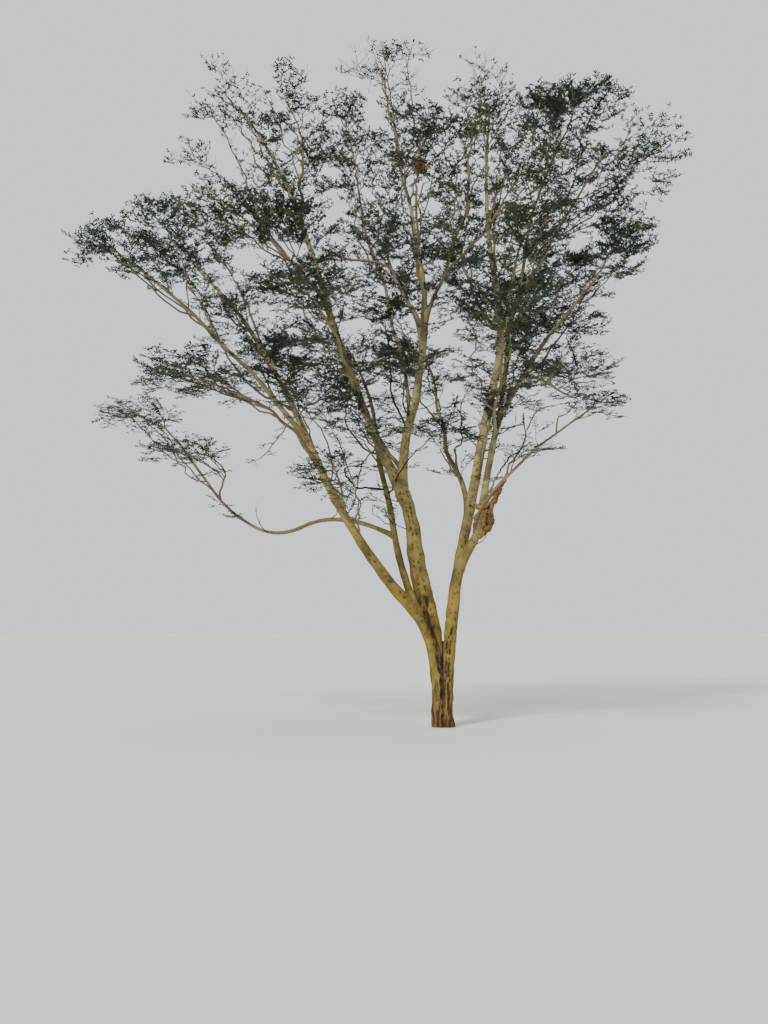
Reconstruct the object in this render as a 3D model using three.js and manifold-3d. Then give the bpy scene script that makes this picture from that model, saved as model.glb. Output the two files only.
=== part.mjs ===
// A fever tree, the tall yellow-barked acacia of African river plains, 18 m high.
// Millimetres, +Z up, origin in the middle of the flat cut where the trunk meets the ground.
// The trunk is three stems grown together. Boughs taper from it, and most outer ones carry a mass of foliage.

import * as THREE from "three";
import { mergeVertices } from "three/addons/utils/BufferGeometryUtils.js";
import Module from "manifold-3d";

const wasm = await Module();
wasm.setup();

// Clear space where limbs meet end to end, and where one is cut to fit another.
const gap = { end: 0.36, side: 0.45 };
const groundBox = 4000; // side of the block that cuts the trunk flat at ground level
const upwards = new THREE.Vector3(0, 0, 1);

// The three stems of the trunk: foot on the ground, tip where each parts from the rest, radius at both.
const trunkStems = {
  left: { foot: [-150, -60, 0], tip: [-850, -260, 2980], heading: [-0.7, -0.16, 0.74], radius: [165, 142] },
  middle: { foot: [-60, 90, 0], tip: [-530, 110, 3450], heading: [-0.28, 0.02, 1], radius: [195, 225] },
  right: { foot: [60, -50, 0], tip: [210, 10, 2650], heading: [0.1, 0.03, 1], radius: [160, 158] },
};
const trunkFaces = { sides: 10, steps: 6 };

// The swelling at the trunk's foot: spurs that lean in from their toes, below the cut, to their tops.
const flare = {
  spurs: 5,
  middle: [20, 0],
  depth: 60,
  height: 620,
  spread: { toe: 175, top: 79 },
  radius: [120, 30],
  firstTurn: 0.3, // of the angle between two spurs
  sides: 6,
  steps: 2,
};

// How every limb bends: the length of the Bezier's handles as a share of the limb's, the half waves of its
// snaking, and the faces of its tube.
const limbShape = {
  handle: 0.36,
  halfWaves: 4.5,
  stepLength: 1150,
  steps: [4, 9], // fewest and most
  thick: 60, // a radius from which a tube gets more sides
  sides: { thick: 8, thin: 6 },
};

// Each bough: what it grows from, how far along that (1 is its end), the place of its tip, its radius
// at foot and tip, and how strongly it snakes. A heading at the tip bends it.
const boughs = {
  left_stem: {
    from: "left", at: 1, radius: [142, 34], snake: 90,
    tip: [-6300, 1200, 11850], heading: [-1, 0.3, 1],
  },
  left_far_bough: {
    from: "left_stem", at: 0.46, radius: [72, 28], snake: 80,
    tip: [-7250, -2300, 10850], heading: [-1.1, 0.1, 0.9],
  },
  left_low_bough: {
    from: "left_stem", at: 0.4, radius: [58, 28], snake: 70,
    tip: [-4750, -3400, 7600], heading: [-1, -0.3, 0.4],
  },
  left_inner_bough: {
    from: "left_stem", at: 0.24, radius: [34, 20], snake: 40,
    tip: [-2550, -2200, 5900], heading: [-0.3, -0.5, 1],
  },
  slim_stem: {
    from: "left", at: 0.89, radius: [106, 30], snake: -60, bow: -60,
    tip: [-2450, 2800, 10250], heading: [-0.5, 0.6, 1],
  },
  low_bough: {
    from: "slim_stem", at: 0.26, radius: [62, 52], snake: 40,
    tip: [-3600, 900, 5050], heading: [-1, 0.3, -0.45],
  },
  low_bough_end: {
    from: "low_bough", at: 1, radius: [52, 28], snake: -70,
    tip: [-7300, 2400, 7650], heading: [-0.7, 0.1, 0.9],
  },
  low_side_bough: {
    from: "low_bough_end", at: 0.55, radius: [34, 22], snake: 20,
    tip: [-5750, 900, 6650], heading: [-0.5, -0.4, 0.7],
  },
  middle_stem: {
    from: "middle", at: 1, radius: [225, 172], snake: 20, bow: 40,
    tip: [-1070, 300, 6000], heading: [-0.52, 0.05, 1],
  },
  middle_left_bough: {
    from: "middle_stem", at: 1, radius: [130, 30], snake: 120, bow: -900,
    tip: [-5250, 1000, 16350], heading: [-0.78, 0, 1.1],
  },
  left_dense_bough: {
    from: "middle_left_bough", at: 0.44, radius: [62, 30], snake: 50,
    tip: [-3850, -2400, 11250], heading: [-0.6, -0.6, 0.8],
  },
  left_top_bough: {
    from: "middle_left_bough", at: 0.66, radius: [50, 28], snake: 60,
    tip: [-3500, -1200, 14350], heading: [0.1, -0.3, 1],
  },
  front_shelf_bough: {
    from: "middle_left_bough", at: 0.17, radius: [52, 26], snake: 60,
    tip: [-2900, -4200, 9300], heading: [-0.4, -1, 0.4],
  },
  middle_right_bough: {
    from: "middle_stem", at: 0.95, radius: [128, 92], snake: -40, bow: -60,
    tip: [-450, -300, 10050], heading: [0.05, -0.1, 1],
  },
  top_bough: {
    from: "middle_right_bough", at: 1, radius: [74, 28], snake: 120, bow: -150,
    tip: [-1250, 0, 15950], heading: [-0.1, 0, 1],
  },
  back_left_bough: {
    from: "middle_right_bough", at: 0.42, radius: [54, 26], snake: 90,
    tip: [-2250, 2200, 15150], heading: [-0.1, 0.2, 1],
  },
  back_bough: {
    from: "middle_right_bough", at: 0.84, radius: [52, 26], snake: 70,
    tip: [-1500, 4000, 14050], heading: [-0.2, 0.5, 1],
  },
  front_bough: {
    from: "middle_right_bough", at: 0.9, radius: [48, 26], snake: 60,
    tip: [-750, -3400, 12250], heading: [0, -0.4, 1],
  },
  arch_bough: {
    from: "middle_right_bough", at: 0.97, radius: [56, 26], snake: 70,
    tip: [500, -2600, 13250], heading: [-0.1, -0.2, 1],
  },
  front_right_bough: {
    from: "arch_bough", at: 0.35, radius: [40, 24], snake: 40,
    tip: [1100, -3600, 11750], heading: [0.5, -0.5, 0.8],
  },
  right_stem: {
    from: "right", at: 1, radius: [158, 28], snake: 150, bow: 1250,
    tip: [1350, 600, 15850], heading: [0.1, -0.1, 1],
  },
  crossing_bough: {
    from: "right_stem", at: 0.19, radius: [78, 30], snake: 90, bow: -330,
    tip: [-150, 3400, 9950], heading: [-0.3, 0.5, 1],
  },
  centre_back_bough: {
    from: "right_stem", at: 0.55, radius: [50, 26], snake: 60,
    tip: [750, 3800, 13850], heading: [-0.1, 0.4, 1],
  },
  knee: {
    from: "right_stem", at: 0.085, radius: [112, 104], snake: 0,
    tip: [940, -600, 5200], heading: [0.1, 0.08, 1],
  },
  right_bough: {
    from: "knee", at: 1, radius: [96, 32], snake: 110, bow: -300,
    tip: [4000, 400, 11450], heading: [0.8, 0.3, 1],
  },
  right_top_bough: {
    from: "right_bough", at: 0.22, radius: [66, 28], snake: 130,
    tip: [3350, 600, 15550], heading: [0.5, 0.1, 1],
  },
  right_outer_bough: {
    from: "right_top_bough", at: 0.42, radius: [48, 26], snake: 70, bow: -200,
    tip: [4150, -400, 14500], heading: [0.6, 0, 0.9],
  },
  right_back_bough: {
    from: "right_top_bough", at: 0.2, radius: [44, 26], snake: 50,
    tip: [2750, 3600, 12100], heading: [0.4, 0.6, 0.8],
  },
  right_low_bough: {
    from: "right_bough", at: 0.54, radius: [46, 26], snake: 40,
    tip: [3600, 1350, 8600], heading: [1, 0.25, -0.4],
  },
  right_slender_bough: {
    from: "right_bough", at: 0.03, radius: [46, 20], snake: 50,
    tip: [3540, -1500, 7700], heading: [1, 0, 0.7],
  },
  right_front_bough: {
    from: "right_bough", at: 0.12, radius: [50, 26], snake: 50,
    tip: [1150, -3600, 8650], heading: [0, -0.7, 0.8],
  },
  right_front_mid_bough: {
    from: "right_top_bough", at: 0.3, radius: [44, 26], snake: 40,
    tip: [1500, -3800, 10750], heading: [0.1, -0.8, 0.6],
  },
};

// Each mass of foliage: the bough that carries it, the middle of the space it keeps to, half the size of
// that space along x, y and z, and how many twigs leave its stem.
const masses = {
  left_shelf: { on: "left_stem", middle: [-7050, 1500, 12950], reach: [1650, 1600, 1050], twigs: 5 },
  far_left: { on: "left_far_bough", middle: [-7900, -2400, 11350], reach: [1250, 1400, 750], twigs: 5 },
  low_front_left: { on: "left_low_bough", middle: [-5850, -3600, 7950], reach: [1350, 1400, 600], twigs: 5 },
  inner_left: { on: "left_inner_bough", middle: [-2900, -2500, 6000], reach: [800, 900, 750], twigs: 4 },
  back_left_low: { on: "slim_stem", middle: [-4000, 4200, 10850], reach: [1850, 1700, 900], twigs: 5 },
  outer_low_left: { on: "low_bough_end", middle: [-8500, 2600, 8400], reach: [1350, 1400, 560], twigs: 5 },
  lowest_left: { on: "low_side_bough", middle: [-6700, 400, 6950], reach: [1350, 1300, 480], twigs: 4 },
  top_left: { on: "middle_left_bough", middle: [-6000, 1200, 17000], reach: [1250, 1500, 1050], twigs: 5 },
  dense_left: { on: "left_dense_bough", middle: [-4700, -2900, 12150], reach: [1850, 1500, 900], twigs: 5 },
  inner_top_left: { on: "left_top_bough", middle: [-3850, -1400, 15300], reach: [1150, 1450, 1050], twigs: 5 },
  front_shelf: { on: "front_shelf_bough", middle: [-3250, -4800, 9500], reach: [1350, 1300, 680], twigs: 5 },
  top_crown: { on: "top_bough", middle: [-1450, -100, 17350], reach: [1400, 1700, 950], twigs: 5 },
  back_top: { on: "back_left_bough", middle: [-2450, 2900, 16500], reach: [1150, 1450, 1250], twigs: 5 },
  back_upper: { on: "back_bough", middle: [-1900, 5000, 14750], reach: [1250, 1350, 950], twigs: 5 },
  front_upper: { on: "front_bough", middle: [-700, -4100, 12950], reach: [1100, 1350, 950], twigs: 5 },
  arch: { on: "arch_bough", middle: [900, -2800, 14250], reach: [1100, 1250, 650], twigs: 4 },
  front_right_upper: { on: "front_right_bough", middle: [1600, -4300, 12400], reach: [1000, 1300, 750], twigs: 5 },
  top_right: { on: "right_stem", middle: [1150, 900, 17200], reach: [1050, 1500, 950], twigs: 4 },
  centre_low: { on: "crossing_bough", middle: [-900, 4600, 10600], reach: [1400, 1450, 750], twigs: 5 },
  centre_back: { on: "centre_back_bough", middle: [500, 5000, 15000], reach: [1200, 1350, 1000], twigs: 5 },
  right_clump: { on: "right_bough", middle: [4600, 1000, 12500], reach: [1300, 1450, 850], twigs: 5 },
  right_low: { on: "right_low_bough", middle: [3650, 2200, 9550], reach: [1600, 1500, 850], twigs: 5 },
  front_right_low: { on: "right_front_bough", middle: [900, -4500, 9050], reach: [1050, 1300, 720], twigs: 4 },
  right_top: { on: "right_top_bough", middle: [3900, 1200, 17000], reach: [1500, 1600, 900], twigs: 5 },
  right_outer: { on: "right_outer_bough", middle: [5350, 0, 14750], reach: [1400, 1500, 1250], twigs: 5 },
  front_right_mid: { on: "right_front_mid_bough", middle: [1750, -4900, 10900], reach: [1050, 1250, 500], twigs: 4 },
  back_right: { on: "right_back_bough", middle: [3500, 4600, 13050], reach: [1600, 1550, 950], twigs: 5 },
};
// A mass's stem and the twigs that leave it, with radii in mm and the rest as shares: of the stem's length for
// from, and of the reach of the mass's space for spread, highest and stemPast.
const twigRule = {
  sides: 3,
  stemSteps: 3,
  stemTip: 20,
  stemPast: 0.3, // the middle of the space
  foot: 12,
  tip: 9,
  from: [0.4, 0.95],
  spread: [0.42, 0.55],
  highest: 0.65,
  swerve: 0.2, // radians to either side
};
const goldenTurn = Math.PI * (3 - Math.sqrt(5));
const goldenStep = 0.618; // of the height of a space, from one twig's level to the next

// A spray of leaves: a kite at a twig's end and one to either side of it.
const spray = {
  longest: 1450,
  shortest: 350,
  width: 0.48, // of its length, as the thickness is
  thickness: 0.035,
  widestAt: 0.4,
  sunk: 3, // past the twig's middle line
  clear: 60, // to a limb
  inside: 20, // the edge of the space
  tilt: 0.12, // radians
  droop: 0.1, // how much of the twig's slope it keeps
  side: { from: [0.6, 0.85], turn: [0.9, 1.15], size: [0.65, 0.85] },
};
const seeds = { first: 101, step: 37 };
// Where a piece and the limbs are tested for touching.
const probe = { stations: 6, spacing: 150, across: 0.4 };

const bark = {
  trunk: new THREE.MeshStandardMaterial({ color: 0x958a4c, roughness: 0.8, metalness: 0 }),
  bough: new THREE.MeshStandardMaterial({ color: 0xa99c6a, roughness: 0.8, metalness: 0 }),
};
const foliage = new THREE.MeshStandardMaterial({ color: 0x465436, roughness: 0.7, metalness: 0 });

// Random numbers that come out the same each time for one seed.
function randomFrom(seed) {
  let state = seed;
  return () => {
    state = (state * 16807) % 2147483647;
    return state / 2147483647;
  };
}

// A limb's middle line: a Bezier between two headings, which bows and snakes sideways on its way.
class LimbLine extends THREE.Curve {
  constructor(foot, leaving, tip, arriving, snake = 0, bow = 0) {
    super();
    const handle = foot.distanceTo(tip) * limbShape.handle;
    const leave = foot.clone().addScaledVector(leaving, handle);
    const arrive = tip.clone().addScaledVector(arriving, -handle);
    this.bend = new THREE.CubicBezierCurve3(foot, leave, arrive, tip);
    this.sideways = new THREE.Vector3().subVectors(tip, foot).cross(upwards).normalize();
    this.snake = snake;
    this.bow = bow;
  }
  getPoint(along, target = new THREE.Vector3()) {
    this.bend.getPoint(along, target);
    const swing = this.bow + this.snake * Math.sin(limbShape.halfWaves * Math.PI * along);
    return target.addScaledVector(this.sideways, swing * Math.sin(Math.PI * along) ** 2);
  }
}

function solidOf(geometry) {
  geometry.deleteAttribute("normal");
  geometry.deleteAttribute("uv");
  const merged = mergeVertices(geometry, 1e-3);
  return new wasm.Manifold(
    new wasm.Mesh({
      numProp: 3,
      vertProperties: new Float32Array(merged.getAttribute("position").array),
      triVerts: new Uint32Array(merged.index.array),
    }),
  );
}

// A round tapering tube along a line: a cylinder's vertices moved to their places. It can be fatter all over.
function bentTube(line, radius, sides, steps, extra = 0) {
  const geometry = new THREE.CylinderGeometry(1, 1, 1, sides, steps);
  const frames = line.computeFrenetFrames(steps);
  const places = geometry.getAttribute("position");
  for (let i = 0; i < places.count; i++) {
    const along = places.getY(i) + 0.5;
    const station = Math.round(along * steps);
    const fatness = THREE.MathUtils.lerp(radius[0], radius[1], along) + extra;
    const point = line.getPointAt(along);
    const atEnd = station === 0 || station === steps;
    if (atEnd) point.addScaledVector(frames.tangents[station], (along * 2 - 1) * extra);
    point.addScaledVector(frames.normals[station], places.getX(i) * fatness);
    point.addScaledVector(frames.binormals[station], -places.getZ(i) * fatness);
    places.setXYZ(i, point.x, point.y, point.z);
  }
  return solidOf(geometry);
}

function largestBody(solid) {
  return solid.decompose().reduce((best, body) => (body.volume() > best.volume() ? body : best));
}

function meshOf(solid, name, material) {
  const made = solid.getMesh();
  const geometry = new THREE.BufferGeometry();
  geometry.setAttribute("position", new THREE.BufferAttribute(made.vertProperties, 3));
  geometry.setIndex(new THREE.BufferAttribute(made.triVerts, 1));
  geometry.computeVertexNormals();
  const mesh = new THREE.Mesh(geometry, material);
  mesh.name = name;
  return mesh;
}

const limbs = {}; // name: { line, arriving, radius, sides, steps } of every stem and bough

function growLimb(name, foot, leaving, limb) {
  const tip = new THREE.Vector3(...limb.tip);
  const arriving = new THREE.Vector3(...limb.heading).normalize();
  const line = new LimbLine(foot, leaving, tip, arriving, limb.snake, limb.bow);
  const sides = limb.radius[0] > limbShape.thick ? limbShape.sides.thick : limbShape.sides.thin;
  const steps = THREE.MathUtils.clamp(Math.round(line.getLength() / limbShape.stepLength), ...limbShape.steps);
  limbs[name] = { line, arriving, radius: limb.radius, sides, steps };
}

function tubeOf(name, extra = 0) {
  const limb = limbs[name];
  return bentTube(limb.line, limb.radius, limb.sides, limb.steps, extra);
}

// The trunk: three stems and the spurs of the root flare fused, and cut flat at the ground.
function makeTrunk() {
  const pieces = [];
  for (const [name, stem] of Object.entries(trunkStems)) {
    const foot = new THREE.Vector3(...stem.foot).addScaledVector(upwards, -stem.radius[0]);
    growLimb(name, foot, upwards, stem);
    Object.assign(limbs[name], trunkFaces);
    pieces.push(tubeOf(name));
  }
  for (let i = 0; i < flare.spurs; i++) {
    const turn = ((i + flare.firstTurn) / flare.spurs) * 2 * Math.PI;
    const outward = new THREE.Vector3(Math.cos(turn), Math.sin(turn), 0);
    const toe = new THREE.Vector3(...flare.middle, -flare.depth).addScaledVector(outward, flare.spread.toe);
    const top = new THREE.Vector3(...flare.middle, flare.height).addScaledVector(outward, flare.spread.top);
    pieces.push(bentTube(new LimbLine(toe, upwards, top, upwards), flare.radius, flare.sides, flare.steps));
  }
  const ground = solidOf(new THREE.BoxGeometry(groundBox, groundBox, groundBox));
  const trunk = pieces.reduce((whole, piece) => whole.add(piece));
  return trunk.subtract(ground.translate([0, 0, -groundBox / 2]));
}

// A bough that goes on from a limb's end meets it flat to flat. One that leaves its side is cut to fit it,
// and both are cut clear of what leaves the same limb.
function makeBough(name, bough) {
  const parent = limbs[bough.from];
  const goesOn = bough.at === 1;
  const foot = parent.line.getPointAt(bough.at);
  const towards = new THREE.Vector3(...bough.tip).sub(foot).normalize();
  const leaving = parent.line.getTangentAt(bough.at).multiplyScalar(0.5).add(towards).normalize();
  if (goesOn) {
    foot.addScaledVector(parent.arriving, gap.end);
    leaving.copy(parent.arriving);
  }
  const cutters = Object.keys(boughs).filter((other) => limbs[other] && boughs[other].from === bough.from);
  if (!goesOn) cutters.push(bough.from);
  if (bough.from in trunkStems) cutters.push(...Object.keys(trunkStems).filter((stem) => stem !== bough.from));
  growLimb(name, foot, leaving, bough);
  return largestBody(cutters.reduce((solid, other) => solid.subtract(tubeOf(other, gap.side)), tubeOf(name)));
}

// A point as seen from the middle of a mass's space, in shares of its reach: its length is 1 on the edge.
function placeIn(mass, point) {
  return point.clone().sub(new THREE.Vector3(...mass.middle)).divide(new THREE.Vector3(...mass.reach));
}

// How far a point may go along a heading before it leaves the mass's space.
function roomIn(mass, point, heading) {
  const from = placeIn(mass, point);
  const step = heading.clone().divide(new THREE.Vector3(...mass.reach));
  const slope = from.dot(step);
  const root = slope * slope - step.lengthSq() * (from.lengthSq() - 1);
  return root > 0 ? (Math.sqrt(root) - slope) / step.lengthSq() : 0;
}

const limbPoints = []; // { place, radius } at a close spacing along every limb
function noteLimbPoints() {
  for (const { line, radius } of Object.values(limbs)) {
    const count = Math.ceil(line.getLength() / probe.spacing);
    for (let i = 0; i <= count; i++) {
      const fatness = THREE.MathUtils.lerp(radius[0], radius[1], i / count);
      limbPoints.push({ place: line.getPointAt(i / count), radius: fatness });
    }
  }
}

// True where a straight flat piece keeps to its mass's own space and clear of every limb.
function isFree(name, start, end, halfWidth) {
  const others = Object.values(masses).filter((mass) => mass !== masses[name]);
  const away = spray.clear + halfWidth * probe.across;
  const side = new THREE.Vector3().subVectors(end, start).cross(upwards).setLength(halfWidth);
  for (let i = 1; i <= probe.stations; i++) {
    const middle = new THREE.Vector3().lerpVectors(start, end, i / probe.stations);
    for (const sideways of i < probe.stations ? [-1, 0, 1] : [0]) {
      const point = middle.clone().addScaledVector(side, sideways);
      if (placeIn(masses[name], point).length() > 1) return false;
      if (others.some((mass) => placeIn(mass, point).length() < 1)) return false;
      if (limbPoints.some(({ place, radius }) => place.distanceTo(point) < radius + away)) return false;
    }
  }
  return true;
}

// A flat kite of eight faces, widest near its foot, that stands for a spray of leaves.
function kite(root, heading, length, tilt) {
  const geometry = new THREE.OctahedronGeometry(1);
  const places = geometry.getAttribute("position");
  for (let i = 0; i < places.count; i++) {
    if (Math.abs(places.getX(i)) < 0.5) places.setX(i, spray.widestAt * 2 - 1);
  }
  geometry.scale(length / 2, (length * spray.width) / 2, (length * spray.thickness) / 2);
  const sideways = new THREE.Vector3().crossVectors(upwards, heading).normalize();
  const across = sideways.applyAxisAngle(heading, tilt);
  const upright = new THREE.Vector3().crossVectors(heading, across);
  const middle = root.clone().addScaledVector(heading, length / 2);
  geometry.applyMatrix4(new THREE.Matrix4().makeBasis(heading, across, upright).setPosition(middle));
  return solidOf(geometry);
}

// A mass: a stem from its bough's tip, twigs that leave it in turn, each to its own level, and their sprays.
function makeMass(name, mass, seed) {
  const random = randomFrom(seed);
  const between = (low, high) => low + (high - low) * random();
  const bough = limbs[mass.on];
  const middle = new THREE.Vector3(...mass.middle);
  const start = bough.line.getPointAt(1).addScaledVector(bough.arriving, gap.end);
  const onward = new THREE.Vector3().subVectors(middle, start).normalize();
  const stemEnd = middle.clone().addScaledVector(onward, roomIn(mass, middle, onward) * twigRule.stemPast);
  const stemLine = new LimbLine(start, bough.arriving, stemEnd, onward);
  let solid = bentTube(stemLine, [bough.radius[1], twigRule.stemTip], twigRule.sides, twigRule.stemSteps);

  const addSpray = (from, heading, longest) => {
    const length = Math.min(longest, roomIn(mass, from, heading) - spray.inside);
    const end = from.clone().addScaledVector(heading, length);
    if (length < spray.shortest || !isFree(name, from, end, (length * spray.width) / 2)) return;
    const root = from.clone().addScaledVector(heading, -spray.sunk);
    solid = solid.add(kite(root, heading, length + spray.sunk, between(-spray.tilt, spray.tilt)));
  };

  const firstTurn = between(0, 2 * Math.PI);
  for (let i = 0; i < mass.twigs; i++) {
    const turn = firstTurn + i * goldenTurn + between(-twigRule.swerve, twigRule.swerve);
    const level = (((i * goldenStep + 0.3) % 1) * 2 - 1) * twigRule.highest;
    const spread = between(...twigRule.spread) * Math.sqrt(1 - level * level);
    const end = new THREE.Vector3(Math.cos(turn) * spread, Math.sin(turn) * spread, level);
    end.multiply(new THREE.Vector3(...mass.reach)).add(middle);
    const foot = stemLine.getPointAt(between(...twigRule.from));
    const heading = new THREE.Vector3().subVectors(end, foot).normalize();
    if (!isFree(name, foot, end, twigRule.tip)) continue;
    const line = new LimbLine(foot, heading, end, heading);
    solid = solid.add(bentTube(line, [twigRule.foot, twigRule.tip], twigRule.sides, 1));
    const flat = heading.clone().setZ(heading.z * spray.droop).normalize();
    addSpray(end.clone().addScaledVector(heading, -2 * spray.sunk), flat, spray.longest);
    for (const side of [-1, 1]) {
      const away = flat.clone().applyAxisAngle(upwards, side * between(...spray.side.turn));
      addSpray(line.getPointAt(between(...spray.side.from)), away, spray.longest * between(...spray.side.size));
    }
  }
  return largestBody(solid);
}

const tree = new THREE.Group();
tree.add(meshOf(makeTrunk(), "trunk", bark.trunk));
for (const [name, bough] of Object.entries(boughs)) {
  tree.add(meshOf(makeBough(name, bough), name, bark.bough));
}
noteLimbPoints();
Object.entries(masses).forEach(([name, mass], index) => {
  const solid = makeMass(name, mass, seeds.first + index * seeds.step);
  tree.add(meshOf(solid, "foliage_" + name, foliage));
});

export default tree;
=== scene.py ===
# A fever tree as it looks: bark with relief on the trunk and boughs, fine twigs and small feathery leaves.
# Metres, +Z up, origin in the middle of the flat cut where the trunk meets the ground.

import math

import bmesh
import bpy
import numpy as np
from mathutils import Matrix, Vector, noise


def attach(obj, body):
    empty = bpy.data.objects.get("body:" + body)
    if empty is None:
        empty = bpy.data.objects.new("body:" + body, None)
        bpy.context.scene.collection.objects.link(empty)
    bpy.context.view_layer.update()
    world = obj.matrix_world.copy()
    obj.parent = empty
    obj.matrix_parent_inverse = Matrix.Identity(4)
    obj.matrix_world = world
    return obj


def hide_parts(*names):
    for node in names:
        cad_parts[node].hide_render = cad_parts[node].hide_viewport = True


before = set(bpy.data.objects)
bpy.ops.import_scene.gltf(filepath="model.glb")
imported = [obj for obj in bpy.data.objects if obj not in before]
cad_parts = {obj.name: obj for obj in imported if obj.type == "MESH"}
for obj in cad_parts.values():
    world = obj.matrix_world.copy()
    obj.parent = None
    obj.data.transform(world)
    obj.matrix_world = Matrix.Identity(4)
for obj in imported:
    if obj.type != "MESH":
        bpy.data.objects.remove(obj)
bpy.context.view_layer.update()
print("frame loaded:", len(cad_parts), "nodes")

cameraView = {
    "lens": 35,  # mm
    "sensor": 36,  # mm along the picture's longer side
    "place": (-1.48, -25, 2.5),  # an eye about as high as one standing in an open vehicle
    "tiltUp": 6.47,  # degrees
    "farthest": 500,  # m that it sees
}


# A new object in the scene.
def placed(name, data):
    item = bpy.data.objects.new(name, data)
    bpy.context.scene.collection.objects.link(item)
    return item


def addCamera():
    data = bpy.data.cameras.new("camera")
    data.lens = cameraView["lens"]
    data.sensor_width = cameraView["sensor"]
    data.clip_end = cameraView["farthest"]
    camera = placed("camera", data)
    camera.location = cameraView["place"]
    camera.rotation_euler = (math.radians(90 + cameraView["tiltUp"]), 0, 0)
    bpy.context.scene.camera = camera


addCamera()

# The stems that make the trunk: foot, tip where each parts from the rest, heading there, radius at both.
trunkStems = {
    "left": {"foot": (-0.15, -0.06, 0), "tip": (-0.85, -0.26, 2.98), "heading": (-0.7, -0.16, 0.74),
        "radius": (0.165, 0.142)},
    "middle": {"foot": (-0.06, 0.09, 0), "tip": (-0.53, 0.11, 3.45), "heading": (-0.28, 0.02, 1),
        "radius": (0.195, 0.225)},
    "right": {"foot": (0.06, -0.05, 0), "tip": (0.21, 0.01, 2.65), "heading": (0.1, 0.03, 1),
        "radius": (0.16, 0.158)},
}


# A bough: what it grows from, how far along that (1 is its end), its tip, its radius at foot and tip, its
# heading at the tip, and how far it snakes and bows sideways.
def grownFrom(parent, at, tip, radius, heading, snake, bow=0):
    return {"from": parent, "at": at, "tip": tip, "radius": radius, "heading": heading,
        "snake": snake, "bow": bow}


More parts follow.
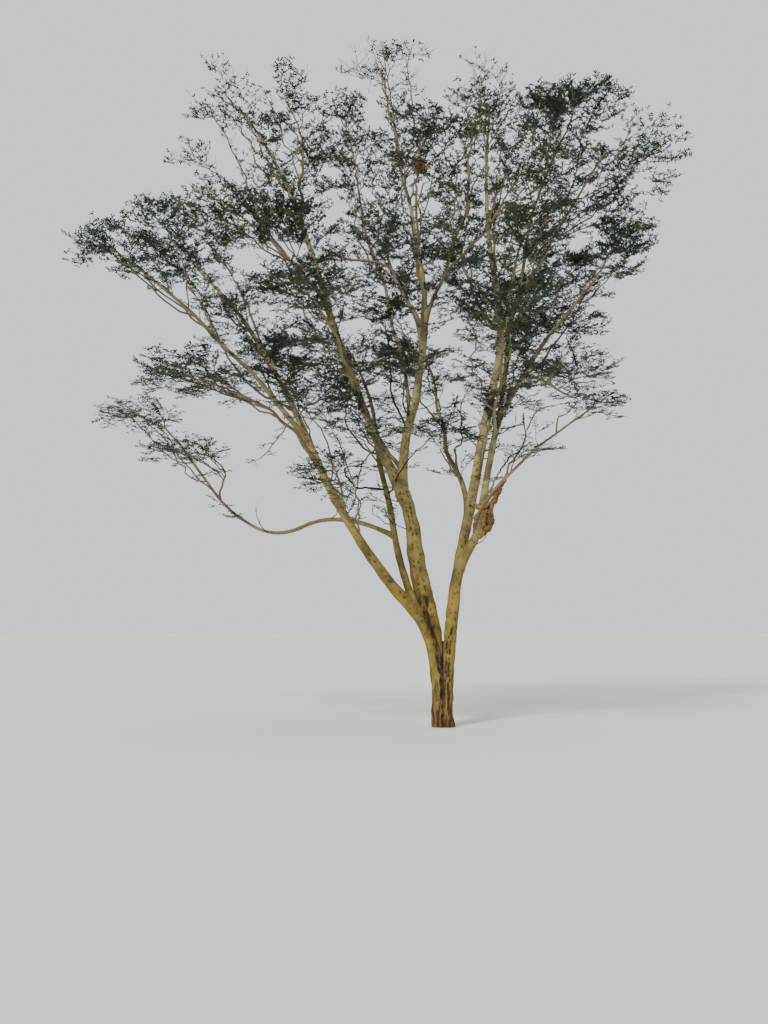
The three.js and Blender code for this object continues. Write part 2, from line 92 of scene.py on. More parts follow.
boughs = {
    "left_stem": grownFrom("left", 1, (-6.3, 1.2, 11.85), (0.142, 0.034), (-1, 0.3, 1), 0.09),
    "left_far_bough": grownFrom("left_stem", 0.46, (-7.25, -2.3, 10.85), (0.072, 0.028),
        (-1.1, 0.1, 0.9), 0.08),
    "left_low_bough": grownFrom("left_stem", 0.4, (-4.75, -3.4, 7.6), (0.058, 0.028), (-1, -0.3, 0.4), 0.07),
    "left_inner_bough": grownFrom("left_stem", 0.24, (-2.55, -2.2, 5.9), (0.034, 0.02),
        (-0.3, -0.5, 1), 0.04),
    "slim_stem": grownFrom("left", 0.89, (-2.45, 2.8, 10.25), (0.106, 0.03), (-0.5, 0.6, 1), -0.06, -0.06),
    "low_bough": grownFrom("slim_stem", 0.26, (-3.6, 0.9, 5.05), (0.062, 0.052), (-1, 0.3, -0.45), 0.04),
    "low_bough_end": grownFrom("low_bough", 1, (-7.3, 2.4, 7.65), (0.052, 0.028), (-0.7, 0.1, 0.9), -0.07),
    "low_side_bough": grownFrom("low_bough_end", 0.55, (-5.75, 0.9, 6.65), (0.034, 0.022),
        (-0.5, -0.4, 0.7), 0.02),
    "middle_stem": grownFrom("middle", 1, (-1.07, 0.3, 6), (0.225, 0.172), (-0.52, 0.05, 1), 0.02, 0.04),
    "middle_left_bough": grownFrom("middle_stem", 1, (-5.25, 1, 16.35), (0.13, 0.03),
        (-0.78, 0, 1.1), 0.12, -0.9),
    "left_dense_bough": grownFrom("middle_left_bough", 0.44, (-3.85, -2.4, 11.25), (0.062, 0.03),
        (-0.6, -0.6, 0.8), 0.05),
    "left_top_bough": grownFrom("middle_left_bough", 0.66, (-3.5, -1.2, 14.35), (0.05, 0.028),
        (0.1, -0.3, 1), 0.06),
    "front_shelf_bough": grownFrom("middle_left_bough", 0.17, (-2.9, -4.2, 9.3), (0.052, 0.026),
        (-0.4, -1, 0.4), 0.06),
    "middle_right_bough": grownFrom("middle_stem", 0.95, (-0.45, -0.3, 10.05), (0.128, 0.092),
        (0.05, -0.1, 1), -0.04, -0.06),
    "top_bough": grownFrom("middle_right_bough", 1, (-1.25, 0, 15.95), (0.074, 0.028),
        (-0.1, 0, 1), 0.12, -0.15),
    "back_left_bough": grownFrom("middle_right_bough", 0.42, (-2.25, 2.2, 15.15), (0.054, 0.026),
        (-0.1, 0.2, 1), 0.09),
    "back_bough": grownFrom("middle_right_bough", 0.84, (-1.5, 4, 14.05), (0.052, 0.026),
        (-0.2, 0.5, 1), 0.07),
    "front_bough": grownFrom("middle_right_bough", 0.9, (-0.75, -3.4, 12.25), (0.048, 0.026),
        (0, -0.4, 1), 0.06),
    "arch_bough": grownFrom("middle_right_bough", 0.97, (0.5, -2.6, 13.25), (0.056, 0.026),
        (-0.1, -0.2, 1), 0.07),
    "front_right_bough": grownFrom("arch_bough", 0.35, (1.1, -3.6, 11.75), (0.04, 0.024),
        (0.5, -0.5, 0.8), 0.04),
    "right_stem": grownFrom("right", 1, (1.35, 0.6, 15.85), (0.158, 0.028), (0.1, -0.1, 1), 0.15, 1.25),
    "crossing_bough": grownFrom("right_stem", 0.19, (-0.15, 3.4, 9.95), (0.078, 0.03),
        (-0.3, 0.5, 1), 0.09, -0.33),
    "centre_back_bough": grownFrom("right_stem", 0.55, (0.75, 3.8, 13.85), (0.05, 0.026),
        (-0.1, 0.4, 1), 0.06),
    "knee": grownFrom("right_stem", 0.085, (0.94, -0.6, 5.2), (0.112, 0.104), (0.1, 0.08, 1), 0),
    "right_bough": grownFrom("knee", 1, (4, 0.4, 11.45), (0.096, 0.032), (0.8, 0.3, 1), 0.11, -0.3),
    "right_top_bough": grownFrom("right_bough", 0.22, (3.35, 0.6, 15.55), (0.066, 0.028),
        (0.5, 0.1, 1), 0.13),
    "right_outer_bough": grownFrom("right_top_bough", 0.42, (4.15, -0.4, 14.5), (0.048, 0.026),
        (0.6, 0, 0.9), 0.07, -0.2),
    "right_back_bough": grownFrom("right_top_bough", 0.2, (2.75, 3.6, 12.1), (0.044, 0.026),
        (0.4, 0.6, 0.8), 0.05),
    "right_low_bough": grownFrom("right_bough", 0.54, (3.6, 1.35, 8.6), (0.046, 0.026),
        (1, 0.25, -0.4), 0.04),
    "right_slender_bough": grownFrom("right_bough", 0.03, (3.54, -1.5, 7.7), (0.046, 0.02),
        (1, 0, 0.7), 0.05),
    "right_front_bough": grownFrom("right_bough", 0.12, (1.15, -3.6, 8.65), (0.05, 0.026),
        (0, -0.7, 0.8), 0.05),
    "right_front_mid_bough": grownFrom("right_top_bough", 0.3, (1.5, -3.8, 10.75), (0.044, 0.026),
        (0.1, -0.8, 0.6), 0.04),
}


# Foliage: the bough that carries it, the middle of its space, half its size along x, y and z, and how far
# along the bough it leaves. Then how full of twigs it is, how far up they are lifted as a share of its
# height, the share of its tufts of leaves that grow, and its mix of tones.
def foliageOn(bough, middle, reach, at=1, fill=1.0, lift=0, leafy=1.0, mix="usual"):
    return {"on": bough, "middle": np.array(middle), "reach": np.array(reach), "at": at,
        "fill": fill, "lift": lift, "leafy": leafy, "mix": mix}


masses = {
    "left_shelf": foliageOn("left_stem", (-7.05, 1.5, 12.95), (1.65, 1.6, 1.05),
        fill=1.1, lift=0.25, leafy=0.75, mix="cool"),
    "far_left": foliageOn("left_far_bough", (-7.9, -2.4, 11.35), (1.25, 1.4, 0.75), leafy=0.8, mix="cool"),
    "low_front_left": foliageOn("left_low_bough", (-5.85, -3.6, 7.95), (1.35, 1.4, 0.6), fill=1.3, leafy=0.8),
    "inner_left": foliageOn("left_inner_bough", (-2.9, -2.5, 6), (0.8, 0.9, 0.75)),
    "back_left_low": foliageOn("slim_stem", (-4, 4.2, 10.85), (1.85, 1.7, 0.9), leafy=0.95, mix="cool"),
    "outer_low_left": foliageOn("low_bough_end", (-8.5, 2.6, 8.4), (1.35, 1.4, 0.56), leafy=0.7),
    "lowest_left": foliageOn("low_side_bough", (-6.7, 0.4, 6.95), (1.35, 1.3, 0.48), leafy=0.5),
    "top_left": foliageOn("middle_left_bough", (-6, 1.2, 17), (1.25, 1.5, 1.05), fill=0.9, leafy=0.25),
    "dense_left": foliageOn("left_dense_bough", (-4.7, -2.9, 12.15), (1.85, 1.5, 0.9),
        fill=1.2, lift=-0.4, leafy=0.74, mix="sunny"),
    "inner_top_left": foliageOn("left_top_bough", (-3.85, -1.4, 15.3), (1.15, 1.45, 1.05), leafy=0.46),
    "front_shelf": foliageOn("front_shelf_bough", (-3.25, -4.8, 9.5), (1.35, 1.3, 0.68), fill=1.2, leafy=0.8),
    "top_crown": foliageOn("top_bough", (-1.45, -0.1, 17.35), (1.4, 1.7, 0.95), fill=0.9, leafy=0.12),
    "back_top": foliageOn("back_left_bough", (-2.45, 2.9, 16.5), (1.15, 1.45, 1.25), leafy=0.42),
    "back_upper": foliageOn("back_bough", (-1.9, 5, 14.75), (1.25, 1.35, 0.95), leafy=0.22),
    "front_upper": foliageOn("front_bough", (-0.7, -4.1, 12.95), (1.1, 1.35, 0.95), leafy=0.5),
    "arch": foliageOn("arch_bough", (0.9, -2.8, 14.25), (1.1, 1.25, 0.65), leafy=0.62, mix="sunny"),
    "front_right_upper": foliageOn("front_right_bough", (1.6, -4.3, 12.4), (1, 1.3, 0.75),
        leafy=0.36, mix="sunny"),
    "top_right": foliageOn("right_stem", (1.15, 0.9, 17.2), (1.05, 1.5, 0.95), fill=0.9, leafy=0.16),
    "centre_low": foliageOn("crossing_bough", (-0.9, 4.6, 10.6), (1.4, 1.45, 0.75)),
    "centre_back": foliageOn("centre_back_bough", (0.5, 5, 15), (1.2, 1.35, 1), leafy=0.22),
    "right_clump": foliageOn("right_bough", (4.6, 1, 12.5), (1.3, 1.45, 0.85)),
    "right_low": foliageOn("right_low_bough", (3.65, 2.2, 9.55), (1.6, 1.5, 0.85), leafy=0.85),
    "front_right_low": foliageOn("right_front_bough", (0.9, -4.5, 9.05), (1.05, 1.3, 0.72), leafy=0.88),
    "right_top": foliageOn("right_top_bough", (3.9, 1.2, 17), (1.5, 1.6, 0.9),
        fill=1.3, leafy=0.8, mix="cool"),
    "right_outer": foliageOn("right_outer_bough", (5.35, 0, 14.75), (1.4, 1.5, 1.25), leafy=0.54, mix="cool"),
    "front_right_mid": foliageOn("right_front_mid_bough", (1.75, -4.9, 10.9), (1.05, 1.25, 0.5), leafy=0.75),
    "back_right": foliageOn("right_back_bough", (3.5, 4.6, 13.05), (1.6, 1.55, 0.95), fill=1.1, mix="cool"),
}
# Small leafy clumps between the masses.
clumps = {
    "front_left_low": foliageOn("left_stem", (-3.0, -1.7, 7.8), (0.9, 0.8, 0.35), at=0.2, leafy=0.75),
    "left_inner": foliageOn("slim_stem", (-3.0, 0.3, 8.7), (0.8, 0.9, 0.4), at=0.55, leafy=0.7),
    "left_behind": foliageOn("middle_left_bough", (-2.5, 1.7, 9.3), (0.8, 0.9, 0.4), at=0.16, leafy=0.7),
    "left_middle": foliageOn("left_stem", (-4.6, 1.3, 9.9), (0.9, 0.9, 0.4), at=0.42),
    "middle_front": foliageOn("middle_right_bough", (-1.2, -1.6, 8.7), (0.8, 0.8, 0.35), at=0.45, leafy=0.6),
    "middle_low": foliageOn("crossing_bough", (0.1, -0.4, 7.5), (0.8, 0.7, 0.3), at=0.35, leafy=0.72),
    "right_low_inner": foliageOn("right_stem", (1.2, -1.4, 7.9), (0.6, 0.7, 0.35), at=0.28, leafy=0.68),
    "right_middle": foliageOn("right_bough", (2.9, 1.6, 10.9), (0.9, 0.9, 0.5), at=0.42, leafy=0.85),
    "right_front": foliageOn("right_top_bough", (3.2, -1.2, 13.9), (0.9, 0.9, 0.5), at=0.45, leafy=0.35),
    "right_upper": foliageOn("right_top_bough", (2.6, -0.2, 16.2), (0.7, 0.9, 0.45), at=0.75, leafy=0.5),
    "right_edge": foliageOn("right_outer_bough", (4.9, 0.6, 13.3), (0.8, 0.9, 0.4), at=0.5, leafy=0.5),
    "left_upper": foliageOn("middle_left_bough", (-5.2, 0.8, 13.7), (0.9, 0.9, 0.5), at=0.55, leafy=0.5),
    "middle_upper": foliageOn("arch_bough", (-0.4, -1.7, 14.7), (0.8, 0.8, 0.5), at=0.7, leafy=0.28),
    "shelf_front": foliageOn("left_far_bough", (-6.6, -1.2, 11.4), (0.8, 0.8, 0.35), at=0.6, leafy=0.6),
    "dense_inner": foliageOn("left_dense_bough", (-3.7, -2.2, 12.0), (1.0, 0.9, 0.45), at=0.6),
    "top_inner": foliageOn("left_top_bough", (-3.0, -0.4, 14.7), (0.8, 0.9, 0.5), at=0.55, leafy=0.4),
    "right_crest": foliageOn("right_top_bough", (2.9, -0.6, 15.4), (0.9, 0.9, 0.5), at=0.85, leafy=0.6),
    "right_inner": foliageOn("right_stem", (2.1, 0.4, 15.4), (0.8, 0.9, 0.6), at=0.8, leafy=0.38),
    "right_edge_low": foliageOn("right_bough", (4.9, -0.2, 12.4), (0.8, 0.9, 0.4), at=0.75),
    "left_low_inner": foliageOn("left_stem", (-4.2, -0.3, 8.9), (0.9, 0.8, 0.35), at=0.33, leafy=0.9),
    "middle_stem_side": foliageOn("middle_left_bough", (-2.4, -0.6, 8.0), (0.7, 0.7, 0.3),
        at=0.08, leafy=0.75),
    "middle_inner": foliageOn("middle_right_bough", (-1.3, -1.0, 10.2), (0.6, 0.7, 0.3), at=0.8, leafy=0.65),
    "top_behind": foliageOn("back_left_bough", (-2.6, 1.0, 16.65), (0.7, 0.8, 0.4), at=0.9, leafy=0.55),
    "right_edge_mid": foliageOn("right_outer_bough", (4.3, -0.8, 13.4), (0.7, 0.8, 0.35), at=0.5, leafy=0.6),
    "right_low_upper": foliageOn("right_low_bough", (3.9, 1.0, 10.5), (0.8, 0.8, 0.3), at=0.5, leafy=0.65),
    "left_edge_low": foliageOn("left_stem", (-5.75, 0.5, 10.9), (0.7, 0.8, 0.3), at=0.55, leafy=0.6),
    "hook_side": foliageOn("slim_stem", (-2.46, -0.5, 7.47), (0.6, 0.6, 0.2), at=0.5, leafy=0.65),
    "hook_front": foliageOn("middle_left_bough", (-1.46, -1.0, 7.24), (0.6, 0.6, 0.2), at=0.1, leafy=0.45),
    "slender_side": foliageOn("right_slender_bough", (2.0, -1.1, 6.75), (0.7, 0.6, 0.1), at=0.3, leafy=0.14),
    "slender_end": foliageOn("right_slender_bough", (3.9, -1.4, 7.9), (0.6, 0.7, 0.15), at=0.8, leafy=0.66),
    "left_tip": foliageOn("left_far_bough", (-7.0, -1.8, 12.45), (0.8, 0.8, 0.35),
        at=0.75, leafy=0.8, mix="cool"),
    "left_crest": foliageOn("left_dense_bough", (-6.3, -1.4, 14.1), (0.8, 0.7, 0.35), at=0.8, leafy=0.13),
    "withered": foliageOn("top_bough", (-0.61, -1.5, 13.75), (0.18, 0.18, 0.2), at=0.55, mix="withered"),
}

limbShape = {
    "handle": 0.36,  # share of the way from foot to tip
    "halfWaves": 4.5,  # of its snaking
    "keeps": 0.5,  # how much of its parent's heading a bough keeps where it leaves
    "stations": 201,
    "headingStep": 0.002,  # share of its length
}
upward = np.array((0.0, 0.0, 1.0))


def unit(v):
    v = np.asarray(v, float)
    return v / np.linalg.norm(v, axis=-1, keepdims=True)


# Turned about the upright axis, by an angle in radians.
def turned(v, angle):
    c, s = np.cos(angle), np.sin(angle)
    x, y = v[..., 0], v[..., 1]
    return np.stack([c * x - s * y, s * x + c * y, v[..., 2] + 0 * c], axis=-1)


# How far along it each of a line's places is.
def travelledAlong(line):
    return np.concatenate([[0], np.cumsum(np.linalg.norm(np.diff(line, axis=0), axis=1))])


# A limb's middle line: a Bezier that leaves and arrives along two headings, and bows and snakes sideways.
class LimbLine:
    def __init__(self, foot, leaving, tip, arriving, snake=0, bow=0):
        handle = np.linalg.norm(tip - foot) * limbShape["handle"]
        self.corners = (foot, foot + leaving * handle, tip - arriving * handle, tip)
        sideways = np.cross(tip - foot, upward)
        self.sideways = sideways / max(np.linalg.norm(sideways), 1e-9)
        self.snake, self.bow = snake, bow
        self.shares = np.linspace(0, 1, limbShape["stations"])
        self.travelled = travelledAlong(self.bend(self.shares))
        self.length = self.travelled[-1]

    def bend(self, t):
        t = np.asarray(t, float)[..., None]
        a, b, c, d = self.corners
        bezier = a * (1 - t) ** 3 + 3 * b * t * (1 - t) ** 2 + 3 * c * t**2 * (1 - t) + d * t**3
        swing = self.bow + self.snake * np.sin(limbShape["halfWaves"] * math.pi * t)
        return bezier + self.sideways * swing * np.sin(math.pi * t) ** 2

    def at(self, along):
        return self.bend(np.interp(np.asarray(along) * self.length, self.travelled, self.shares))

    def heading(self, along):
        along, step = np.asarray(along, float), limbShape["headingStep"]
        return unit(self.at(np.minimum(along + step, 1)) - self.at(np.maximum(along - step, 0)))


limbs = {}  # name: {"line", "arriving", "radius"}


def addLimb(name, foot, leaving, limb):
    arriving = unit(limb["heading"])
    tip = np.array(limb["tip"], float)
    line = LimbLine(foot, leaving, tip, arriving, limb.get("snake", 0), limb.get("bow", 0))
    limbs[name] = {"line": line, "arriving": arriving, "radius": limb["radius"]}


def placeLimbs():
    for name, stem in trunkStems.items():
        addLimb(name, np.array(stem["foot"], float) - upward * stem["radius"][0], upward, stem)
    for name, bough in boughs.items():
        parent = limbs[bough["from"]]
        foot = parent["line"].at(bough["at"])
        kept = parent["line"].heading(bough["at"]) * limbShape["keeps"]
        leaving = unit(kept + unit(np.array(bough["tip"]) - foot))
        if bough["at"] == 1:
            leaving = parent["arriving"]
        addLimb(name, foot, leaving, bough)


placeLimbs()
print("limbs placed:", len(limbs))


# The radius at a share of the way from foot to tip.
def tapered(radius, share):
    return radius[0] + (radius[1] - radius[0]) * share


def radiusOf(name, along):
    return tapered(limbs[name]["radius"], np.clip(along, 0, 1))


# Materials. Each colour is the sRGB value that the eye sees, turned to the linear one that the shader takes.
def colourOf(hexValue):
    channels = [int(hexValue[i : i + 2], 16) / 255 for i in (1, 3, 5)]
    linear = [c / 12.92 if c <= 0.04045 else ((c + 0.055) / 1.055) ** 2.4 for c in channels]
    return (*linear, 1)


# Adds a node with its settings. An input takes another node's output, a value or a hex colour.
def addNode(tree, kind, settings=None, inputs=None):
    node = tree.nodes.new(kind)
    for key, value in (settings or {}).items():
        setattr(node, key, value)
    for key, value in (inputs or {}).items():
        if isinstance(value, bpy.types.NodeSocket):
            tree.links.new(value, node.inputs[key])
        else:
            node.inputs[key].default_value = colourOf(value) if isinstance(value, str) else value
    return node


def newMaterial(name, look):
    material = bpy.data.materials.new(name)
    material.use_nodes = True
    shader = material.node_tree.nodes["Principled BSDF"]
    shader.inputs["Roughness"].default_value = look["roughness"]
    shader.inputs["Specular IOR Level"].default_value = look["specular"]
    return material, shader


def plainMaterial(name, hexValue, look):
    material, shader = newMaterial(name, look)
    shader.inputs["Base Color"].default_value = colourOf(hexValue)
    return material


# Powdery bark of a fever tree: thin and smooth, so it scatters light softly. It is olive-yellow on the bole
# and a paler cream higher up, with dark scars, a rusty foot and greyer bark where a limb is slender. The scar
# and rust colours are also laid on as painted shade: in hollows, grooves and crevices, and over the trunk's
# foot. The grain is coarser than real powder, so that it shows.
barkLook = {
    "powder": "#8C7838",
    "shade": "#5F5422",
    "cream": "#A0966E",
    "creamShade": "#676146",
    "slender": "#746A4E",
    # also laid over the trunk's foot as painted shade
    "rustAndShade": "#5A331B",
    # also the colour of painted shade in hollows, grooves and crevices
    "scarAndShade": "#281811",
    "paleAbove": (3.4, 8.0),  # m, where the powder turns to cream
    "patterns": {"blotch": (420, 3), "mottle": (70, 4), "grain": (16, 2)},  # size in mm, and how detailed
    "ragged": 0.6,
    "boleShade": (0.42, 0.62),  # blotch values from which the shade comes up, and where it is full
    "upperShade": (0.4, 0.66),
    "mottleShade": ((0.52, 0.72), (0, 0.45)),  # mottle values, and how much they show
    "mottleRust": ((0.3, 0.6), (0.35, 1)),
    "relief": {"Strength": 0.5, "Distance": 0.006},  # m
    "roughness": 0.8,
    "specular": 0.25,
}


def barkMaterial(name):
    look = barkLook
    material, shader = newMaterial(name, look)
    tree = material.node_tree
    place = addNode(tree, "ShaderNodeTexCoord").outputs["Object"]
    height = addNode(tree, "ShaderNodeSeparateXYZ", None, {0: place}).outputs["Z"]
    pattern, painted, share = {}, {}, {}
    for key, (size, detail) in look["patterns"].items():
        inputs = {"Vector": place, "Scale": 1000 / size, "Detail": detail, "Roughness": look["ragged"]}
        pattern[key] = addNode(tree, "ShaderNodeTexNoise", None, inputs).outputs["Fac"]
    for key in ("slender", "rustAndShade", "scarAndShade"):
        painted[key] = addNode(tree, "ShaderNodeAttribute", {"attribute_name": key}).outputs["Fac"]
    ranges = {
        "paleAbove": (height, look["paleAbove"], (0, 1)),
        "boleShade": (pattern["blotch"], look["boleShade"], (0, 1)),
        "upperShade": (pattern["blotch"], look["upperShade"], (0, 1)),
        "mottleShade": (pattern["mottle"], *look["mottleShade"]),
        "mottleRust": (pattern["mottle"], *look["mottleRust"]),
    }
    for key, (value, low, high) in ranges.items():
        inputs = dict(zip(("Value", "From Min", "From Max", "To Min", "To Max"), (value, *low, *high)))
        share[key] = addNode(tree, "ShaderNodeMapRange", None, inputs).outputs["Result"]
    rusty = {0: painted["rustAndShade"], 1: share["mottleRust"]}
    share["rustAndShade"] = addNode(tree, "ShaderNodeMath", {"operation": "MULTIPLY"}, rusty).outputs[0]

    # Each layer covers what is under it by its share. The rust and scar layers also lay on painted shade.
    mix = ("ShaderNodeMix", {"data_type": "RGBA"})
    bole = addNode(tree, *mix, {0: share["boleShade"], 6: look["powder"], 7: look["shade"]}).outputs[2]
    upper = addNode(tree, *mix, {0: share["upperShade"], 6: look["cream"], 7: look["creamShade"]}).outputs[2]
    colour = addNode(tree, *mix, {0: share["paleAbove"], 6: bole, 7: upper}).outputs[2]
    layers = (
        (share["mottleShade"], "shade"), (painted["slender"], "slender"),
        (share["rustAndShade"], "rustAndShade"), (painted["scarAndShade"], "scarAndShade"),
    )
    for covers, layer in layers:
        colour = addNode(tree, *mix, {0: covers, 6: colour, 7: look[layer]}).outputs[2]
    rough = {0: pattern["mottle"], 1: pattern["grain"]}
    relief = addNode(tree, "ShaderNodeMath", {"operation": "ADD"}, rough).outputs[0]
    bump = addNode(tree, "ShaderNodeBump", None, {**look["relief"], "Height": relief})
    tree.links.new(colour, shader.inputs["Base Color"])
    tree.links.new(bump.outputs[0], shader.inputs["Normal"])
    return material


bark = barkMaterial("powdery_bark")


def meshFrom(bm, name):
    mesh = bpy.data.meshes.new(name)
    bm.to_mesh(mesh)
    bm.free()
    return mesh


# Values on each vertex of a mesh, which its material reads.
def paint(mesh, painted):
    for key, values in painted.items():
        attribute = mesh.attributes.new(key, "FLOAT", "POINT")
        attribute.data.foreach_set("value", np.asarray(values, np.float32))


# Adds a mesh to the scene as a piece of the tree.
def addPiece(name, mesh, material, slot, replaced=()):
    mesh.materials.append(material)
    piece = placed(name, mesh)
    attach(piece, "root")
    if replaced:
        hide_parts(*replaced)


def noiseAt(points, size, shift=0.0):
    scaled = np.asarray(points) / size + shift
    return np.array([noise.noise(Vector(p)) for p in scaled])


# Patches where the noise is high: its size in m, contrast, level and the most it reaches.
def patchesAt(points, patch):
    patches = noiseAt(points, patch["size"], patch["shift"]) * patch["contrast"] + patch["level"]
    return np.clip(patches, 0, patch["most"])


# Directions across a line at each of its places, carried along it without twist.
def framesAlong(headings):
    side = unit(np.cross(headings[0], (0.3, 1.0, 0.1)))
    sides = [side]
    for heading in headings[1:]:
        side = unit(side - heading * np.dot(side, heading))
        sides.append(side)
    sides = np.array(sides)
    return sides, np.cross(headings, sides)


# A closed round tube: a cylinder cut into rings, and each ring moved to its place on the line. "shaped" takes
# each vertex's place, the way out there, its ring and its angle, and gives the places and what is painted.
def tubeMesh(centres, headings, radii, sides, shaped=None):
    rings = len(centres)
    bm = bmesh.new()
    bmesh.ops.create_cone(bm, cap_ends=True, segments=sides, radius1=1, radius2=1, depth=1)
    upright = [e for e in bm.edges if abs(e.verts[0].co.z - e.verts[1].co.z) > 0.5]
    bmesh.ops.subdivide_edges(bm, edges=upright, cuts=rings - 2, use_grid_fill=True)
    across = np.array([v.co for v in bm.verts])
    ring = np.rint((across[:, 2] + 0.5) * (rings - 1)).astype(int)
    side, other = framesAlong(headings)
    outward = side[ring] * across[:, :1] + other[ring] * across[:, 1:2]
    places = centres[ring] + outward * np.asarray(radii)[ring][:, None]
    painted = {}
    if shaped:
        places, painted = shaped(places, outward, ring, np.arctan2(across[:, 1], across[:, 0]))
    for vert, place in zip(bm.verts, places):
        vert.co = place
    for face in bm.faces:
        face.smooth = True
    bmesh.ops.recalc_face_normals(bm, faces=bm.faces)
    mesh = meshFrom(bm, "tube")
    paint(mesh, painted)
    return mesh


limbRelief = {
    "ring": {"ofRadius": 0.3, "closest": 0.022, "widest": 0.034},  # m between rings
    "sides": ((0.15, 44), (0.1, 32), (0.05, 18), (0, 10)),  # from this radius in m
    "lead": {"length": 0.25, "radius": 0.93},  # m that a limb starts inside the one it goes on from
    "dome": 0.8,  # height of a rounded tip, as a share of the radius
    "domeRings": (0.4, 0.7, 0.9, 0.99),  # shares of that height
    "collar": {"height": 0.38, "length": 2.1},  # of the radius, where a bough leaves its parent
    "buried": {"collar": 0.8, "most": 0.88},  # of the parent's radius
    "stations": 300,
    "lump": {"size": 0.34, "height": 0.15},  # m, and share of the radius
    "oval": {"height": 0.05, "twist": 1.3},  # share of the radius, and radians a metre
    "slender": {"radius": (0.075, 0.03), "most": 0.8},  # m of radius, from powdery to grey
}
limbScars = {
    "each": 4.6,  # per m, on wood thicker than "from"
    "from": 0.07,  # m of radius
    "along": 0.034,
    "across": 0.019,
    "depth": 0.009,
    "size": (0.5, 1),
    "inRows": {"size": (0.4, 1.5), "astray": (-0.06, 0.06), "turn": (-0.2, 0.2)},  # m and radians
}
limbRust = {
    "fork": {"length": 0.28, "most": 0.6, "rarely": 0.7},
    "patch": {"size": 0.3, "shift": 3.1, "contrast": 2, "level": 0.8, "most": 1},
    "on": {"slim_stem": 0.3, "low_bough": 0.35, "low_bough_end": 0.25, "left_low_bough": 0.35,
        "right_top_bough": 0.2, "crossing_bough": 0.3, "back_bough": 0.25},
}
# Rows of pits up the thick stems: limb, turn in degrees from +X, shares of its length where the row starts
# and ends, m between pits, size.
pitRows = (
    ("middle_stem", -112, 0, 0.95, 0.1, 1.2), ("middle_stem", -72, 0, 0.95, 0.12, 1.1),
    ("middle_stem", 70, 0, 0.9, 0.15, 1.1), ("middle_left_bough", -100, 0, 0.35, 0.16, 1),
    ("middle_left_bough", -60, 0, 0.3, 0.2, 0.9), ("middle_right_bough", -95, 0, 0.8, 0.2, 0.9),
    ("left_stem", -80, 0, 0.3, 0.2, 0.9), ("right_stem", -95, 0, 0.3, 0.17, 1),
    ("right_stem", -60, 0, 0.2, 0.22, 0.9),
)
burrs = (  # swellings where a limb healed: limb, share of its length, size and height in m, how rusty
    ("knee", 0.9, 0.2, 0.035, 0.7),
    ("middle_stem", 0.9, 0.2, 0.03, 0.15),
    ("right_stem", 0.36, 0.1, 0.05, 0.1),
    ("middle_left_bough", 0.3, 0.12, 0.03, 0.5),
    ("left_stem", 0.3, 0.12, 0.025, 0.3),
)
burrKnobs = {"size": 0.08, "contrast": 1.6}


# Where each metre along a line is, and the heading there. Past the line's ends it runs straight on.
def placesAlong(line, metres):
    share = np.clip(metres / line.length, 0, 1)
    headings = line.heading(share)
    past = metres - share * line.length
    return line.at(share) + headings * past[:, None], headings


# A limb's rings with those of its rounded tip added.
def withDome(metres, radii, length, thin, end):
    dome = np.array(limbRelief["domeRings"])
    metres = np.append(metres, length + dome * thin * limbRelief["dome"])
    return metres, np.append(radii, end * np.sqrt(1 - dome**2))


# The metres along a bough's line and its radius at each ring, with its lead, collar and rounded tip.
def ringsOf(name):
    line, (thick, thin) = limbs[name]["line"], limbs[name]["radius"]
    spacing, collar, buried = limbRelief["ring"], limbRelief["collar"], limbRelief["buried"]
    step = min(max(thick * spacing["ofRadius"], spacing["closest"]), spacing["widest"])
    bough = boughs[name]
    goesOn = bough["at"] == 1
    lead = limbRelief["lead"]["length"] if goesOn else 0
    metres = np.linspace(-lead, line.length, math.ceil((line.length + lead) / step))
    radii = radiusOf(name, metres / line.length)
    parentRadius = radiusOf(bough["from"], bough["at"])
    height = min(collar["height"], max(parentRadius / thick - 1, 0)) if goesOn else collar["height"]
    clear = np.maximum(metres - (0 if goesOn else buried["collar"] * parentRadius), 0)
    radii *= 1 + height * np.exp(-clear / (collar["length"] * thick))
    if not goesOn:
        parent, share = limbs[bough["from"]]["line"], np.linspace(0, 1, limbRelief["stations"])
        centres = placesAlong(line, metres)[0]
        apart = np.linalg.norm(centres[:, None] - parent.at(share)[None], axis=2)
        nearest = share[apart.argmin(axis=1)]
        radii = np.minimum(radii, apart.min(axis=1) + buried["most"] * radiusOf(bough["from"], nearest))
    radii = np.where(metres < 0, radii * limbRelief["lead"]["radius"], radii)
    return withDome(metres, radii, line.length, thin, radii[-1])


# Small dark scars on a bough: the metre, the turn round the bough and the size of each.
def scarsOn(name, metres, radii, random):
    line, scars = limbs[name]["line"], limbScars
    scarred = metres[radii > scars["from"]]
    count = int(len(scarred) and (scarred[-1] - scarred[0]) * scars["each"])
    found = []
    for _ in range(count):
        metre = random.uniform(scarred[0], scarred[-1])
        turn = random.uniform(-math.pi, math.pi)
        found.append((metre, turn, random.uniform(*scars["size"])))
    rows = scars["inRows"]
    for limb, degrees, first, last, apart, size in pitRows:
        if limb == name:
            for metre in np.arange(first, last, apart / line.length) * line.length:
                turn = math.radians(degrees) + random.uniform(*rows["turn"])
                metre += random.uniform(*rows["astray"])
                found.append((metre, turn, size * random.uniform(*rows["size"])))
    return found


